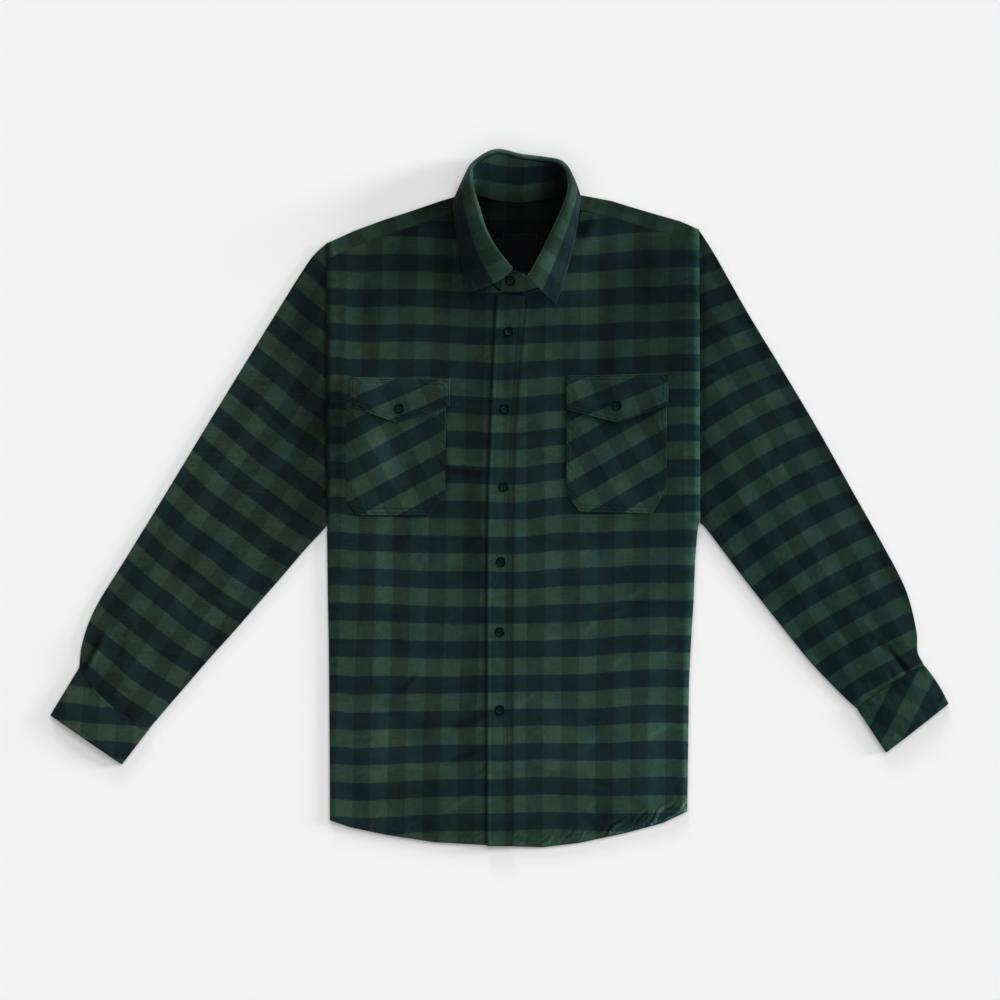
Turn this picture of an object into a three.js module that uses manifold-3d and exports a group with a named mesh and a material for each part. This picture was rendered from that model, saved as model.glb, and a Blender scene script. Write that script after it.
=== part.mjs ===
// A flannel shirt laid flat on its back, buttoned, with its sleeves spread.
// Millimetres, +X towards the wearer's left, +Y towards the collar, +Z up from the table.
// The origin is the middle of the shirt's outline, on the table.
import * as THREE from "three";
import { mergeVertices } from "three/addons/utils/BufferGeometryUtils.js";
import Module from "manifold-3d";

// Cloth and layers
const cloth = 1.2; // one layer of brushed flannel
const doubled = 1.8; // two layers stitched together, as in a cuff
const gap = 0.3; // between two pieces at a seam
const layGap = 0.5; // between a panel and what is sewn on it
const air = 3; // how far the fronts stand off the back in the middle
const easeIn = 70; // width over which they rise from an edge

// Yoke
const stripWidth = 18; // the part of the yoke that shows in front of the shoulder
const yokeBottom = 238;
const wrapDepth = 14; // how far a shoulder fold runs on under the yoke
const neckClearance = 1; // from the middle of the stand's seam to the yoke's edge
const shoulderSteps = 8; // columns along one shoulder, the same in the yoke and the front
const neckSteps = 6; // columns of a front inside its shoulder

// The body's side edges, armhole above and side seam below
const sides = [
  { y: 312, right: -197.2, left: 228 },
  { y: -25, right: -197.2, left: 229.2 },
  { y: -37, right: -198.2, left: 227.5 },
  { y: -71, right: -197.8, left: 224.8 },
  { y: -116, right: -197.2, left: 223.2 },
  { y: -163, right: -196.2, left: 220.2 },
  { y: -209, right: -195.8, left: 217.9 },
  { y: -289, right: -195.2, left: 216.8 },
  { y: -402, right: -194.8, left: 215.2 },
];

const shoulderRight = [
  { x: -197.2, y: 295 },
  { x: -167, y: 308.8 },
  { x: -136, y: 320.3 },
  { x: -100, y: 332 },
  { x: -67, y: 343.3 },
  { x: -36, y: 352.5 },
];

const shoulderLeft = [
  { x: 86, y: 351.3 },
  { x: 128, y: 343.3 },
  { x: 166, y: 331.8 },
  { x: 208, y: 319.7 },
  { x: 228, y: 311 },
];

// Upper edges of the fronts between the shoulder and the placket
const neckRight = [
  { x: -48, y: 331 },
  { x: -39, y: 298.4 },
  { x: -29, y: 269.7 },
  { x: -14, y: 244 },
  { x: 0, y: 235 },
  { x: 30, y: 234.5 },
];

const neckLeft = [
  { x: 14, y: 231 },
  { x: 35, y: 231.5 },
  { x: 60, y: 247 },
  { x: 79, y: 273 },
  { x: 89, y: 303 },
  { x: 93, y: 331 },
];

const hem = [
  { x: -195, y: -368.6 },
  { x: -172, y: -376.6 },
  { x: -130, y: -385.5 },
  { x: -75, y: -393.9 },
  { x: 7, y: -398.5 },
  { x: 49, y: -399.6 },
  { x: 90, y: -395 },
  { x: 145, y: -383.5 },
  { x: 187, y: -372 },
  { x: 216, y: -358.2 },
];

// The placket's free edge and its seam on the left front
const placketEdges = [
  { y: 233, free: -3.3, sewn: 30.5 },
  { y: 182, free: -6.1, sewn: 24.7 },
  { y: 136, free: -8.3, sewn: 21.6 },
  { y: 74, free: -10.7, sewn: 17 },
  { y: 13, free: -12.9, sewn: 15.5 },
  { y: -115, free: -14.6, sewn: 13.7 },
  { y: -398, free: -14.4, sewn: 13.7 },
];
const overSeam = 5; // how far the left front runs in under the placket

// Sleeve sections from armhole to cuff: the two folded edges, how far the cloth stands
// off the lower layer, and how far the section bows towards the hand
const sleeveRight = [
  { outX: -197.8, outY: 294.7, inX: -197.8, inY: -28.2, rise: 0.4, bow: 0 },
  { outX: -218, outY: 274, inX: -203.5, inY: -35, rise: 2.6, bow: 0 },
  { outX: -258, outY: 211, inX: -226, inY: -59.5, rise: 4, bow: 2 },
  { outX: -300, outY: 143, inX: -252, inY: -90, rise: 4.2, bow: 3 },
  { outX: -343, outY: 73, inX: -278, inY: -119.5, rise: 4.2, bow: 4 },
  { outX: -386, outY: 2, inX: -305, inY: -150.5, rise: 4.4, bow: 5 },
  { outX: -428.5, outY: -67, inX: -333, inY: -181.5, rise: 4.6, bow: 6 },
  { outX: -463.5, outY: -124, inX: -358, inY: -210.5, rise: 4.8, bow: 7 },
  { outX: -478.5, outY: -163, inX: -381, inY: -237, rise: 4.4, bow: 8 },
  { outX: -482.4, outY: -193.2, inX: -402, inY: -261.6, rise: 2.4, bow: 8 },
];

const cuffRight = [
  { outX: -482.8, outY: -194.1, inX: -402.6, inY: -262.6, rise: 2, bow: 8 },
  { outX: -493.5, outY: -212, inX: -413, inY: -276.2, rise: 2.2, bow: 5 },
  { outX: -504.5, outY: -230, inX: -424, inY: -290.4, rise: 2.2, bow: 2 },
  { outX: -515.6, outY: -248.4, inX: -434.6, inY: -304.2, rise: 1.6, bow: 0 },
];

const sleeveLeft = [
  { outX: 228.6, outY: 310.2, inX: 229.8, inY: -25, rise: 0.4, bow: 0 },
  { outX: 247, outY: 281, inX: 238, inY: -33, rise: 2.6, bow: 0 },
  { outX: 285, outY: 214, inX: 258.5, inY: -60, rise: 4, bow: 2 },
  { outX: 327, outY: 145, inX: 282, inY: -91, rise: 4.2, bow: 3 },
  { outX: 368, outY: 76, inX: 305, inY: -120.5, rise: 4.2, bow: 4 },
  { outX: 405.5, outY: 9, inX: 330, inY: -152, rise: 4.4, bow: 5 },
  { outX: 440.5, outY: -53, inX: 355, inY: -183, rise: 4.6, bow: 6 },
  { outX: 466.5, outY: -104, inX: 378, inY: -208, rise: 4.8, bow: 5 },
  { outX: 478.5, outY: -150, inX: 396, inY: -226, rise: 4.4, bow: 4 },
  { outX: 486.5, outY: -190, inX: 411.5, inY: -240, rise: 2.4, bow: 4 },
];

const cuffLeft = [
  { outX: 488, outY: -191.3, inX: 412, inY: -240.7, rise: 2, bow: 4 },
  { outX: 497.2, outY: -205.8, inX: 423, inY: -257.2, rise: 2.2, bow: 3 },
  { outX: 506.3, outY: -220.4, inX: 434, inY: -273.8, rise: 2.2, bow: 1.5 },
  { outX: 515.6, outY: -235.2, inX: 445, inY: -290.4, rise: 1.6, bow: 0 },
];

// The collar, round the neck from the right front, over the back to the left front:
// the stand's seam and top edge
const collarSections = [
  { seamX: 31, seamY: 237, seamZ: 5.6, topX: 30, topY: 260, topZ: 7 },
  { seamX: 14, seamY: 238, seamZ: 5.2, topX: 14, topY: 262.5, topZ: 8 },
  { seamX: -2, seamY: 242.6, seamZ: 5.2, topX: 4.5, topY: 273, topZ: 13 },
  { seamX: -15.5, seamY: 255.9, seamZ: 5, topX: -6.5, topY: 289, topZ: 17 },
  { seamX: -26, seamY: 277.7, seamZ: 5, topX: -16, topY: 307.6, topZ: 20.5 },
  { seamX: -33, seamY: 303, seamZ: 4.6, topX: -22.4, topY: 328, topZ: 22 },
  { seamX: -36, seamY: 328.3, seamZ: 4, topX: -28.2, topY: 348, topZ: 22 },
  { seamX: -34.5, seamY: 346, seamZ: 3, topX: -30, topY: 367, topZ: 21 },
  { seamX: -24, seamY: 349, seamZ: 1.6, topX: -22, topY: 385, topZ: 18 },
  { seamX: -5.2, seamY: 344, seamZ: 1.2, topX: -2, topY: 393, topZ: 15 },
  { seamX: 21.3, seamY: 341, seamZ: 1.2, topX: 23.6, topY: 388, topZ: 14.5 },
  { seamX: 47.7, seamY: 344, seamZ: 1.2, topX: 52, topY: 384, topZ: 15 },
  { seamX: 69.6, seamY: 349, seamZ: 1.6, topX: 71, topY: 378, topZ: 18 },
  { seamX: 83.4, seamY: 346, seamZ: 3, topX: 79, topY: 363, topZ: 21 },
  { seamX: 87.5, seamY: 329.5, seamZ: 4, topX: 77, topY: 344, topZ: 22 },
  { seamX: 84.5, seamY: 305.3, seamZ: 4.6, topX: 68, topY: 321, topZ: 22 },
  { seamX: 76.5, seamY: 280, seamZ: 5, topX: 57.5, topY: 298, topZ: 20.5 },
  { seamX: 62.7, seamY: 257, seamZ: 5.4, topX: 46.5, topY: 277.7, topZ: 17.5 },
  { seamX: 45, seamY: 243.2, seamZ: 6.8, topX: 34.5, topY: 265.5, topZ: 13.6 },
  { seamX: 23.6, seamY: 238, seamZ: 7.6, topX: 18.5, topY: 262.5, topZ: 11.2 },
  { seamX: 1.5, seamY: 237.8, seamZ: 7.4, topX: 2.5, topY: 260, topZ: 9.8 },
];

// The fall at the same sections, from the first that it is sewn to: its free edge,
// the radius and angle of its roll, and how far the leaf swells beside the free edge
const fallFirst = 1;
const fallSections = [
  { edgeX: -36.2, edgeY: 236.9, edgeZ: 9.6, roll: 3.4, turn: 165, crown: 1 },
  { edgeX: -40, edgeY: 256, edgeZ: 8.8, roll: 3, turn: 155, crown: 1.5 },
  { edgeX: -44.5, edgeY: 277, edgeZ: 8.2, roll: 2.4, turn: 140, crown: 1.5 },
  { edgeX: -48, edgeY: 298, edgeZ: 8, roll: 2.6, turn: 135, crown: 1.5 },
  { edgeX: -51, edgeY: 318, edgeZ: 7.6, roll: 2.8, turn: 135, crown: 1.5 },
  { edgeX: -52.5, edgeY: 334, edgeZ: 7, roll: 2.8, turn: 135, crown: 1.5 },
  { edgeX: -51, edgeY: 347, edgeZ: 6, roll: 2.8, turn: 140, crown: 1 },
  { edgeX: -42, edgeY: 356.5, edgeZ: 2.6, roll: 3.2, turn: 150, crown: 0 },
  { edgeX: -14, edgeY: 358, edgeZ: 1.1, roll: 4.5, turn: 175, crown: 0 },
  { edgeX: 21.3, edgeY: 357, edgeZ: 1.1, roll: 4.5, turn: 175, crown: 0 },
  { edgeX: 56, edgeY: 357, edgeZ: 1.1, roll: 4.5, turn: 175, crown: 0 },
  { edgeX: 82, edgeY: 357.5, edgeZ: 2.6, roll: 3.2, turn: 150, crown: 0 },
  { edgeX: 92, edgeY: 350, edgeZ: 6, roll: 2.8, turn: 140, crown: 1 },
  { edgeX: 91.5, edgeY: 332, edgeZ: 7, roll: 2.8, turn: 135, crown: 1.5 },
  { edgeX: 88, edgeY: 308, edgeZ: 7.6, roll: 2.6, turn: 135, crown: 1.5 },
  { edgeX: 82.5, edgeY: 282, edgeZ: 8, roll: 2.4, turn: 140, crown: 1.5 },
  { edgeX: 75, edgeY: 254, edgeZ: 8.2, roll: 2, turn: 150, crown: 1.5 },
  { edgeX: 64.4, edgeY: 222.5, edgeZ: 9, roll: 1.8, turn: 160, crown: 1 },
];
const rollSteps = 5; // steps round the roll, and from there to the free edge
const leafSteps = 4;
const standThickness = 1.5;
const fallThickness = 1.6;
const rollGap = 0.7; // between the stand's top edge and the fall that rolls away from it

// Pockets and flaps, corners as the pattern piece has them
const pocketRight = [
  { x: -176, top: 122, bottom: -0.6 },
  { x: -164, top: 122, bottom: -18 },
  { x: -81, top: 124, bottom: -17.8 },
  { x: -62, top: 124, bottom: 6 },
];
const pocketLeft = [
  { x: 77, top: 127, bottom: 5.2 },
  { x: 92, top: 127, bottom: -13.8 },
  { x: 175, top: 127, bottom: -16.1 },
  { x: 191.8, top: 127, bottom: 11.3 },
];
const flapRight = [
  { x: -171.5, top: 140.2, bottom: 107.1 },
  { x: -117.9, top: 138.8, bottom: 88 },
  { x: -57, top: 137.4, bottom: 107.1 },
];
const flapLeft = [
  { x: 77, top: 142.5, bottom: 102.6 },
  { x: 136.5, top: 143.2, bottom: 88 },
  { x: 193.6, top: 143.9, bottom: 108.7 },
];
const pocketLayer = cloth + layGap;

// Buttons, 18 line
const buttonDiameter = 11.5;
const buttonHeight = 2.4;
const frontButtons = [
  { x: 10.3, y: 192.7 },
  { x: 5.8, y: 104.1 },
  { x: 4.6, y: 14.4 },
  { x: 1.7, y: -71.5 },
  { x: 0.3, y: -152 },
  { x: 0.6, y: -241.5 },
];
const standButton = { x: 12.5, y: 250.7 };
const flapButtonRight = { x: -115, y: 104.4 };
const flapButtonLeft = { x: 134.5, y: 108.2 };

const label = { x: 23.3, y: 283, width: 42, height: 45, thickness: 0.7 };

// The largest soft folds: a row is a ridge, or a trough where high is below zero
const bodyFolds = [
  { fromX: -70, fromY: 42, toX: -22, toY: 32, wide: 13, high: 1 },
  { fromX: -170, fromY: 95, toX: -198, toY: 80, wide: 13, high: -0.7 },
  { fromX: 165, fromY: -40, toX: 160, toY: -190, wide: 20, high: 1.4 },
  { fromX: 128, fromY: -60, toX: 132, toY: -175, wide: 18, high: -0.8 },
  { fromX: -130, fromY: -235, toX: -80, toY: -190, wide: 17, high: 1.2 },
  { fromX: -60, fromY: -270, toX: -10, toY: -250, wide: 18, high: -0.8 },
  { fromX: 120, fromY: -290, toX: 122, toY: -380, wide: 19, high: 1.1 },
  { fromX: -95, fromY: -345, toX: -70, toY: -385, wide: 16, high: 0.9 },
];
const sleeveFolds = [
  { fromX: -240, fromY: 140, toX: -205, toY: 60, wide: 20, high: -1.2 },
  { fromX: -290, fromY: 20, toX: -240, toY: -70, wide: 20, high: 1.3 },
  { fromX: -395, fromY: -60, toX: -330, toY: -150, wide: 18, high: -1.1 },
  { fromX: -452, fromY: -150, toX: -474, toY: -192, wide: 9, high: -1.6 },
  { fromX: -418, fromY: -135, toX: -440, toY: -215, wide: 12, high: 1.2 },
  { fromX: 236, fromY: 146, toX: 262, toY: 116, wide: 14, high: -1.3 },
  { fromX: 300, fromY: 60, toX: 262, toY: -40, wide: 20, high: 1.3 },
  { fromX: 408, fromY: -50, toX: 350, toY: -140, wide: 19, high: -1.1 },
  { fromX: 446, fromY: -160, toX: 468, toY: -200, wide: 9, high: -1.7 },
  { fromX: 400, fromY: -120, toX: 440, toY: -215, wide: 12, high: 1.2 },
];

const mix = (a, b, t) => a + (b - a) * t;
const between = (value, low, high) => Math.min(high, Math.max(low, value));

function smooth(t) {
  const held = between(t, 0, 1);
  return held * held * (3 - 2 * held);
}

// Reads one column of a table against another that rises or falls steadily.
function readOff(rows, key, at, column) {
  const rising = rows[rows.length - 1][key] > rows[0][key];
  let i = 0;
  while (i < rows.length - 2 && (rising ? at > rows[i + 1][key] : at < rows[i + 1][key])) i += 1;
  const t = between((at - rows[i][key]) / (rows[i + 1][key] - rows[i][key]), 0, 1);
  return mix(rows[i][column], rows[i + 1][column], t);
}

// Reads a column along a table's rows on a smooth curve; t runs from 0 to 1 over all rows.
function along(rows, t, column) {
  const place = between(t, 0, 1) * (rows.length - 1);
  const i = Math.min(Math.floor(place), rows.length - 2);
  const f = place - i;
  const now = rows[i][column];
  const next = rows[i + 1][column];
  const before = i > 0 ? rows[i - 1][column] : 2 * now - next;
  const after = i < rows.length - 2 ? rows[i + 2][column] : 2 * next - now;
  const bend = 2 * before - 5 * now + 4 * next - after;
  const turn = 3 * (now - next) + after - before;
  return now + 0.5 * f * (next - before + f * (bend + f * turn));
}

// Height that the folds add at a point, each fading out towards its ends.
function foldsAt(rows, x, y) {
  let height = 0;
  for (const fold of rows) {
    const runX = fold.toX - fold.fromX;
    const runY = fold.toY - fold.fromY;
    const run = Math.hypot(runX, runY);
    const t = ((x - fold.fromX) * runX + (y - fold.fromY) * runY) / (run * run);
    const off = ((x - fold.fromX) * runY - (y - fold.fromY) * runX) / run;
    const fade = smooth((t + 0.15) / 0.4) * smooth((1.15 - t) / 0.4);
    height += fold.high * fade * Math.exp(-((off / fold.wide) ** 2));
  }
  return height;
}

// Height of the fronts' underside over the table.
function frontUnder(x, y) {
  const shoulders = x < 25 ? shoulderRight : shoulderLeft;
  const neckEnd = shoulders === shoulderRight ? x > shoulders[5].x : x < shoulders[0].x;
  const fromTop = neckEnd ? easeIn : readOff(shoulders, "x", x, "y") - y;
  const fromHem = y - readOff(hem, "x", x, "y");
  const fromRight = x - readOff(sides, "y", y, "right");
  const fromLeft = readOff(sides, "y", y, "left") - x;
  let rise = 1;
  for (const distance of [fromTop, fromHem, fromRight, fromLeft]) rise *= smooth(distance / easeIn);
  const inside = smooth(Math.min(fromHem, fromRight, fromLeft) / 30);
  return cloth + gap + air * rise + inside * foldsAt(bodyFolds, x, y);
}

const frontOver = (x, y) => frontUnder(x, y) + cloth;

// A closed wall between two like grids of points, open at its ends or wrapped into a ring.
function wallBetween(outer, inner, across, length, wraps) {
  const stride = wraps ? across : across + 1;
  const at = (side, i, j) => side * outer.length + j * stride + (wraps ? i % across : i);
  const faces = [];
  const quad = (a, b, c, d) => faces.push(a, b, c, a, c, d);
  for (let i = 0; i < across; i += 1) {
    for (let j = 0; j < length; j += 1) {
      quad(at(0, i, j), at(0, i + 1, j), at(0, i + 1, j + 1), at(0, i, j + 1));
      quad(at(1, i, j), at(1, i, j + 1), at(1, i + 1, j + 1), at(1, i + 1, j));
    }
    quad(at(0, i, 0), at(1, i, 0), at(1, i + 1, 0), at(0, i + 1, 0));
    quad(at(0, i, length), at(0, i + 1, length), at(1, i + 1, length), at(1, i, length));
  }
  for (let j = 0; j < length && !wraps; j += 1) {
    quad(at(0, 0, j), at(0, 0, j + 1), at(1, 0, j + 1), at(1, 0, j));
    quad(at(0, across, j), at(1, across, j), at(1, across, j + 1), at(0, across, j + 1));
  }
  const points = [...outer, ...inner];
  if (signedVolume(points, faces) < 0) faces.reverse();
  const geometry = new THREE.BufferGeometry().setFromPoints(points);
  geometry.setIndex(faces);
  return geometry;
}

function signedVolume(points, faces) {
  let volume = 0;
  for (let i = 0; i < faces.length; i += 3) {
    const [a, b, c] = [points[faces[i]], points[faces[i + 1]], points[faces[i + 2]]];
    volume += a.dot(new THREE.Vector3().crossVectors(b, c)) / 6;
  }
  return volume;
}

// A panel over the table: outline(u, v) gives its place, under(x, y) its underside.
function panel(across, length, outline, under, thickness = cloth) {
  const upper = [];
  const lower = [];
  for (let j = 0; j <= length; j += 1) {
    for (let i = 0; i <= across; i += 1) {
      const [x, y] = outline(i / across, j / length);
      const z = under(x, y);
      upper.push(new THREE.Vector3(x, y, z + thickness));
      lower.push(new THREE.Vector3(x, y, z));
    }
  }
  return wallBetween(upper, lower, across, length, false);
}

// A sheet through any grid of points, thickened to both sides along its normals.
function sheet(across, length, pointAt, thickness) {
  const grid = [];
  for (let j = 0; j <= length; j += 1) {
    for (let i = 0; i <= across; i += 1) grid.push(pointAt(i / across, j / length));
  }
  const at = (i, j) => grid[between(j, 0, length) * (across + 1) + between(i, 0, across)];
  const outer = [];
  const inner = [];
  for (let j = 0; j <= length; j += 1) {
    for (let i = 0; i <= across; i += 1) {
      const alongU = at(i + 1, j).clone().sub(at(i - 1, j));
      const alongV = at(i, j + 1).clone().sub(at(i, j - 1));
      const out = alongU.cross(alongV).normalize().multiplyScalar(thickness / 2);
      outer.push(at(i, j).clone().add(out));
      inner.push(at(i, j).clone().sub(out));
    }
  }
  return wallBetween(outer, inner, across, length, false);
}

// A flattened tube through a table of sections, its lower layer flat on the table.
function flatTube(rows, rings, ringPoints, wall, folds) {
  const outer = [];
  const inner = [];
  const edgeHeight = wall + gap / 2;
  for (let j = 0; j <= rings; j += 1) {
    const t = j / rings;
    const read = (column) => along(rows, t, column);
    const runX = read("inX") - read("outX");
    const runY = read("inY") - read("outY");
    const width = Math.hypot(runX, runY);
    const towardsHand = Math.sign(runX || 1) * (rows[0].outX < 0 ? 1 : -1);
    for (let i = 0; i < ringPoints; i += 1) {
      const angle = (2 * Math.PI * i) / ringPoints;
      const s = 0.5 - 0.5 * Math.cos(angle);
      const upper = Math.sin(angle) > 1e-6;
      const edge = Math.abs(Math.sin(angle)) < 1e-6;
      const bow = 4 * s * (1 - s) * read("bow");
      const x = read("outX") + runX * s + (bow * towardsHand * runY) / width;
      const y = read("outY") + runY * s - (bow * towardsHand * runX) / width;
      const fullness = smooth(Math.min(s, 1 - s) * 3.2);
      const top = 2 * wall + gap + read("rise") * fullness + fullness * foldsAt(folds, x, y);
      const inset = (between(s, wall / width, 1 - wall / width) - s) * (edge ? 1 : 0);
      const innerX = x + runX * inset;
      const innerY = y + runY * inset;
      outer.push(new THREE.Vector3(x, y, edge ? edgeHeight : upper ? top : 0));
      inner.push(new THREE.Vector3(innerX, innerY, edge ? edgeHeight : upper ? top - wall : wall));
    }
  }
  return wallBetween(outer, inner, ringPoints, rings, true);
}

// A flat plate on the table with an outline of points.
function plate(points, thickness, floor = 0) {
  const shape = new THREE.Shape(points.map(([x, y]) => new THREE.Vector2(x, y)));
  const geometry = new THREE.ExtrudeGeometry(shape, { depth: thickness, bevelEnabled: false });
  geometry.translate(0, 0, floor);
  return geometry;
}

function sideX(y, side) {
  return readOff(sides, "y", y, side);
}

function backPanel() {
  const inward = 0.5; // the back's edges stay just inside the fronts'
  const hemPoints = hem.map((row) => [between(row.x, -194.4, 214.8), row.y + inward]);
  const leftEdge = sides
    .filter((row) => row.y < yokeBottom && row.y > -360)
    .map((row) => [row.left - inward, row.y])
    .reverse();
  const rightEdge = sides
    .filter((row) => row.y < yokeBottom && row.y > -360)
    .map((row) => [row.right + inward, row.y]);
  const top = [
    [sideX(yokeBottom, "left") - inward, yokeBottom - gap],
    [sideX(yokeBottom, "right") + inward, yokeBottom - gap],
  ];
  return plate([...hemPoints, ...leftEdge, ...top, ...rightEdge], cloth);
}

const wasm = await Module();
wasm.setup();

function solid(geometry) {
  const bare = geometry.clone();
  bare.deleteAttribute("normal");
  bare.deleteAttribute("uv");
  const merged = mergeVertices(bare, 1e-3);
  const vertProperties = new Float32Array(merged.attributes.position.array);
  const triVerts = new Uint32Array(merged.index.array);
  return new wasm.Manifold(new wasm.Mesh({ numProp: 3, vertProperties, triVerts }));
}

function geometryOf(made) {
  const mesh = made.getMesh();
  const geometry = new THREE.BufferGeometry();
  geometry.setAttribute("position", new THREE.BufferAttribute(mesh.vertProperties, 3));
  geometry.setIndex([...mesh.triVerts]);
  return geometry;
}

// One shoulder of the yoke: from the front seam over the folded shoulder line to its back layer.
function shoulderWrap(shoulders, neckX, armX) {
  const foldRadius = (cloth + gap) / 2;
  const stripSteps = 3;
  const foldSteps = 6;
  const steps = stripSteps + foldSteps + 1;
  const pointAt = (u, v) => {
    const x = mix(armX, neckX, u);
    const lineY = readOff(shoulders, "x", x, "y") - cloth / 2 - foldRadius;
    const step = Math.round(v * steps);
    if (step <= stripSteps) {
      const y = lineY - (stripWidth - foldRadius) * (1 - step / stripSteps);
      const z = frontUnder(x, y) + cloth / 2;
      return new THREE.Vector3(x, y, step === stripSteps ? cloth / 2 + 2 * foldRadius : z);
    }
    if (step <= stripSteps + foldSteps) {
      const turn = (Math.PI * (step - stripSteps)) / foldSteps;
      const z = cloth / 2 + foldRadius * (1 + Math.cos(turn));
      return new THREE.Vector3(x, lineY + foldRadius * Math.sin(turn), z);
    }
    return new THREE.Vector3(x, lineY - wrapDepth, cloth / 2);
  };
  return sheet(shoulderSteps, steps, pointAt, cloth);
}

function yoke() {
  const overlap = wrapDepth / 2;
  const back = collarSections.slice(8, 13).map((row) => [row.seamX, row.seamY - neckClearance]);
  const right = shoulderRight.map((row) => [row.x, row.y - overlap]);
  const left = shoulderLeft.map((row) => [row.x, row.y - overlap]);
  const bottom = [
    [sideX(yokeBottom, "left"), yokeBottom],
    [sideX(yokeBottom, "right"), yokeBottom],
  ];
  const flat = solid(plate([...right, ...back, ...left, ...bottom], cloth));
  const wrapRight = solid(shoulderWrap(shoulderRight, neckRight[0].x, sideX(312, "right")));
  const wrapLeft = solid(shoulderWrap(shoulderLeft, neckLeft[neckLeft.length - 1].x, sideX(312, "left")));
  return geometryOf(flat.add(wrapRight).add(wrapLeft));
}

// A front: columns run from the side to the placket, rows from the hem to the shoulder.
function frontPanel(shoulders, neck, sideName, innerX) {
  const neckX = (shoulders === shoulderRight ? neck[0] : neck[neck.length - 1]).x;
  const armX = sideX(312, sideName);
  const topX = (u) => {
    const column = u * (shoulderSteps + neckSteps);
    return column <= shoulderSteps
      ? mix(armX, neckX, column / shoulderSteps)
      : mix(neckX, innerX(250), (column - shoulderSteps) / neckSteps);
  };
  const topAt = (u) =>
    u * (shoulderSteps + neckSteps) <= shoulderSteps
      ? readOff(shoulders, "x", topX(u), "y") - stripWidth - cloth / 2 - gap
      : readOff(neck, "x", topX(u), "y");
  const outline = (u, v) => {
    const share = (topX(u) - armX) / (innerX(250) - armX);
    const hemX = mix(sideX(-380, sideName), innerX(-380), share);
    const y = mix(readOff(hem, "x", hemX, "y"), topAt(u), v);
    return [mix(sideX(y, sideName), innerX(y), share), y];
  };
  return panel(shoulderSteps + neckSteps, 34, outline, frontUnder);
}

const underlapX = (y) => readOff(placketEdges, "y", y, "sewn") - overSeam - gap;
const leftFrontX = (y) => readOff(placketEdges, "y", y, "sewn") - overSeam;

function placket() {
  const topY = 233;
  const bottomY = -398.4;
  const outline = (u, v) => {
    const y = mix(bottomY, topY + 3 * (1 - u), v);
    return [mix(readOff(placketEdges, "y", y, "free"), readOff(placketEdges, "y", y, "sewn"), u), y];
  };
  return panel(3, 42, outline, (x, y) => frontOver(x, y) + layGap, doubled);
}

function patch(rows, across, length, under) {
  const first = rows[0].x;
  const last = rows[rows.length - 1].x;
  const outline = (u, v) => {
    const x = mix(first, last, u);
    return [x, mix(readOff(rows, "x", x, "bottom"), readOff(rows, "x", x, "top"), v)];
  };
  return panel(across, length, outline, under);
}

const pocketUnder = (x, y) => frontOver(x, y) + layGap;

// A flap lies on the front at its seam and on the pocket below it.
function flapUnder(rows) {
  return (x, y) => {
    const fromSeam = readOff(rows, "x", x, "top") - y;
    return pocketUnder(x, y) + pocketLayer * smooth(fromSeam / 12);
  };
}

function collarStand() {
  const pointAt = (u, v) => {
    const read = (column) => along(collarSections, u, column);
    return new THREE.Vector3(
      mix(read("seamX"), read("topX"), v),
      mix(read("seamY"), read("topY"), v),
      mix(read("seamZ"), read("topZ"), v),
    );
  };
  return sheet(2 * (collarSections.length - 1), 3, pointAt, standThickness);
}

// The fall: each section rolls away from the stand's top edge and runs down to the free edge.
function collarFall() {
  const last = fallFirst + fallSections.length - 1;
  const steps = rollSteps + leafSteps;
  const topAt = (place) => {
    const stand = (column) => along(collarSections, place, column);
    return new THREE.Vector3(stand("topX"), stand("topY"), stand("topZ"));
  };
  const pointAt = (u, v) => {
    const place = mix(fallFirst, last, u) / (collarSections.length - 1);
    const stand = (column) => along(collarSections, place, column);
    const fall = (column) => along(fallSections, u, column);
    const seam = new THREE.Vector3(stand("seamX"), stand("seamY"), stand("seamZ"));
    const top = topAt(place);
    const up = top.clone().sub(seam).normalize();
    const round = topAt(place + 0.01).sub(topAt(place - 0.01));
    const over = up.clone().cross(round).normalize();
    const start = top.clone().addScaledVector(up, rollGap);
    const radius = fall("roll");
    const whole = THREE.MathUtils.degToRad(fall("turn"));
    const onRoll = (angle) =>
      start
        .clone()
        .addScaledVector(up, radius * Math.sin(angle))
        .addScaledVector(over, radius * (1 - Math.cos(angle)));
    const step = Math.round(v * steps);
    if (step <= rollSteps) return onRoll((whole * step) / rollSteps);
    const leaf = onRoll(whole);
    const edge = new THREE.Vector3(fall("edgeX"), fall("edgeY"), fall("edgeZ"));
    const rolledTo = up.clone().multiplyScalar(Math.cos(whole)).addScaledVector(over, Math.sin(whole));
    const heading = edge.clone().sub(leaf).normalize().lerp(rolledTo, 0.35).normalize();
    const far = leaf.distanceTo(edge) / 3;
    const out = leaf.clone().addScaledVector(heading, far);
    const low = edge.clone().lerp(out, 0.5);
    low.z += fall("crown");
    return new THREE.CubicBezierCurve3(leaf, out, low, edge).getPoint((step - rollSteps) / leafSteps);
  };
  return sheet(2 * (fallSections.length - 1), steps, pointAt, fallThickness);
}

function button() {
  const radius = buttonDiameter / 2;
  const rimWidth = 1.1;
  const dish = 0.8;
  const profile = [
    [0, 0],
    [radius - 1.2, 0],
    [radius, 0.8],
    [radius, buttonHeight - 0.5],
    [radius - 0.5, buttonHeight],
    [radius - rimWidth, buttonHeight],
    [radius - rimWidth - 0.9, buttonHeight - dish],
    [0, buttonHeight - dish],
  ];
  const geometry = new THREE.LatheGeometry(
    profile.map(([x, y]) => new THREE.Vector2(x, y)),
    12,
  );
  return geometry.rotateX(Math.PI / 2);
}

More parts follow.
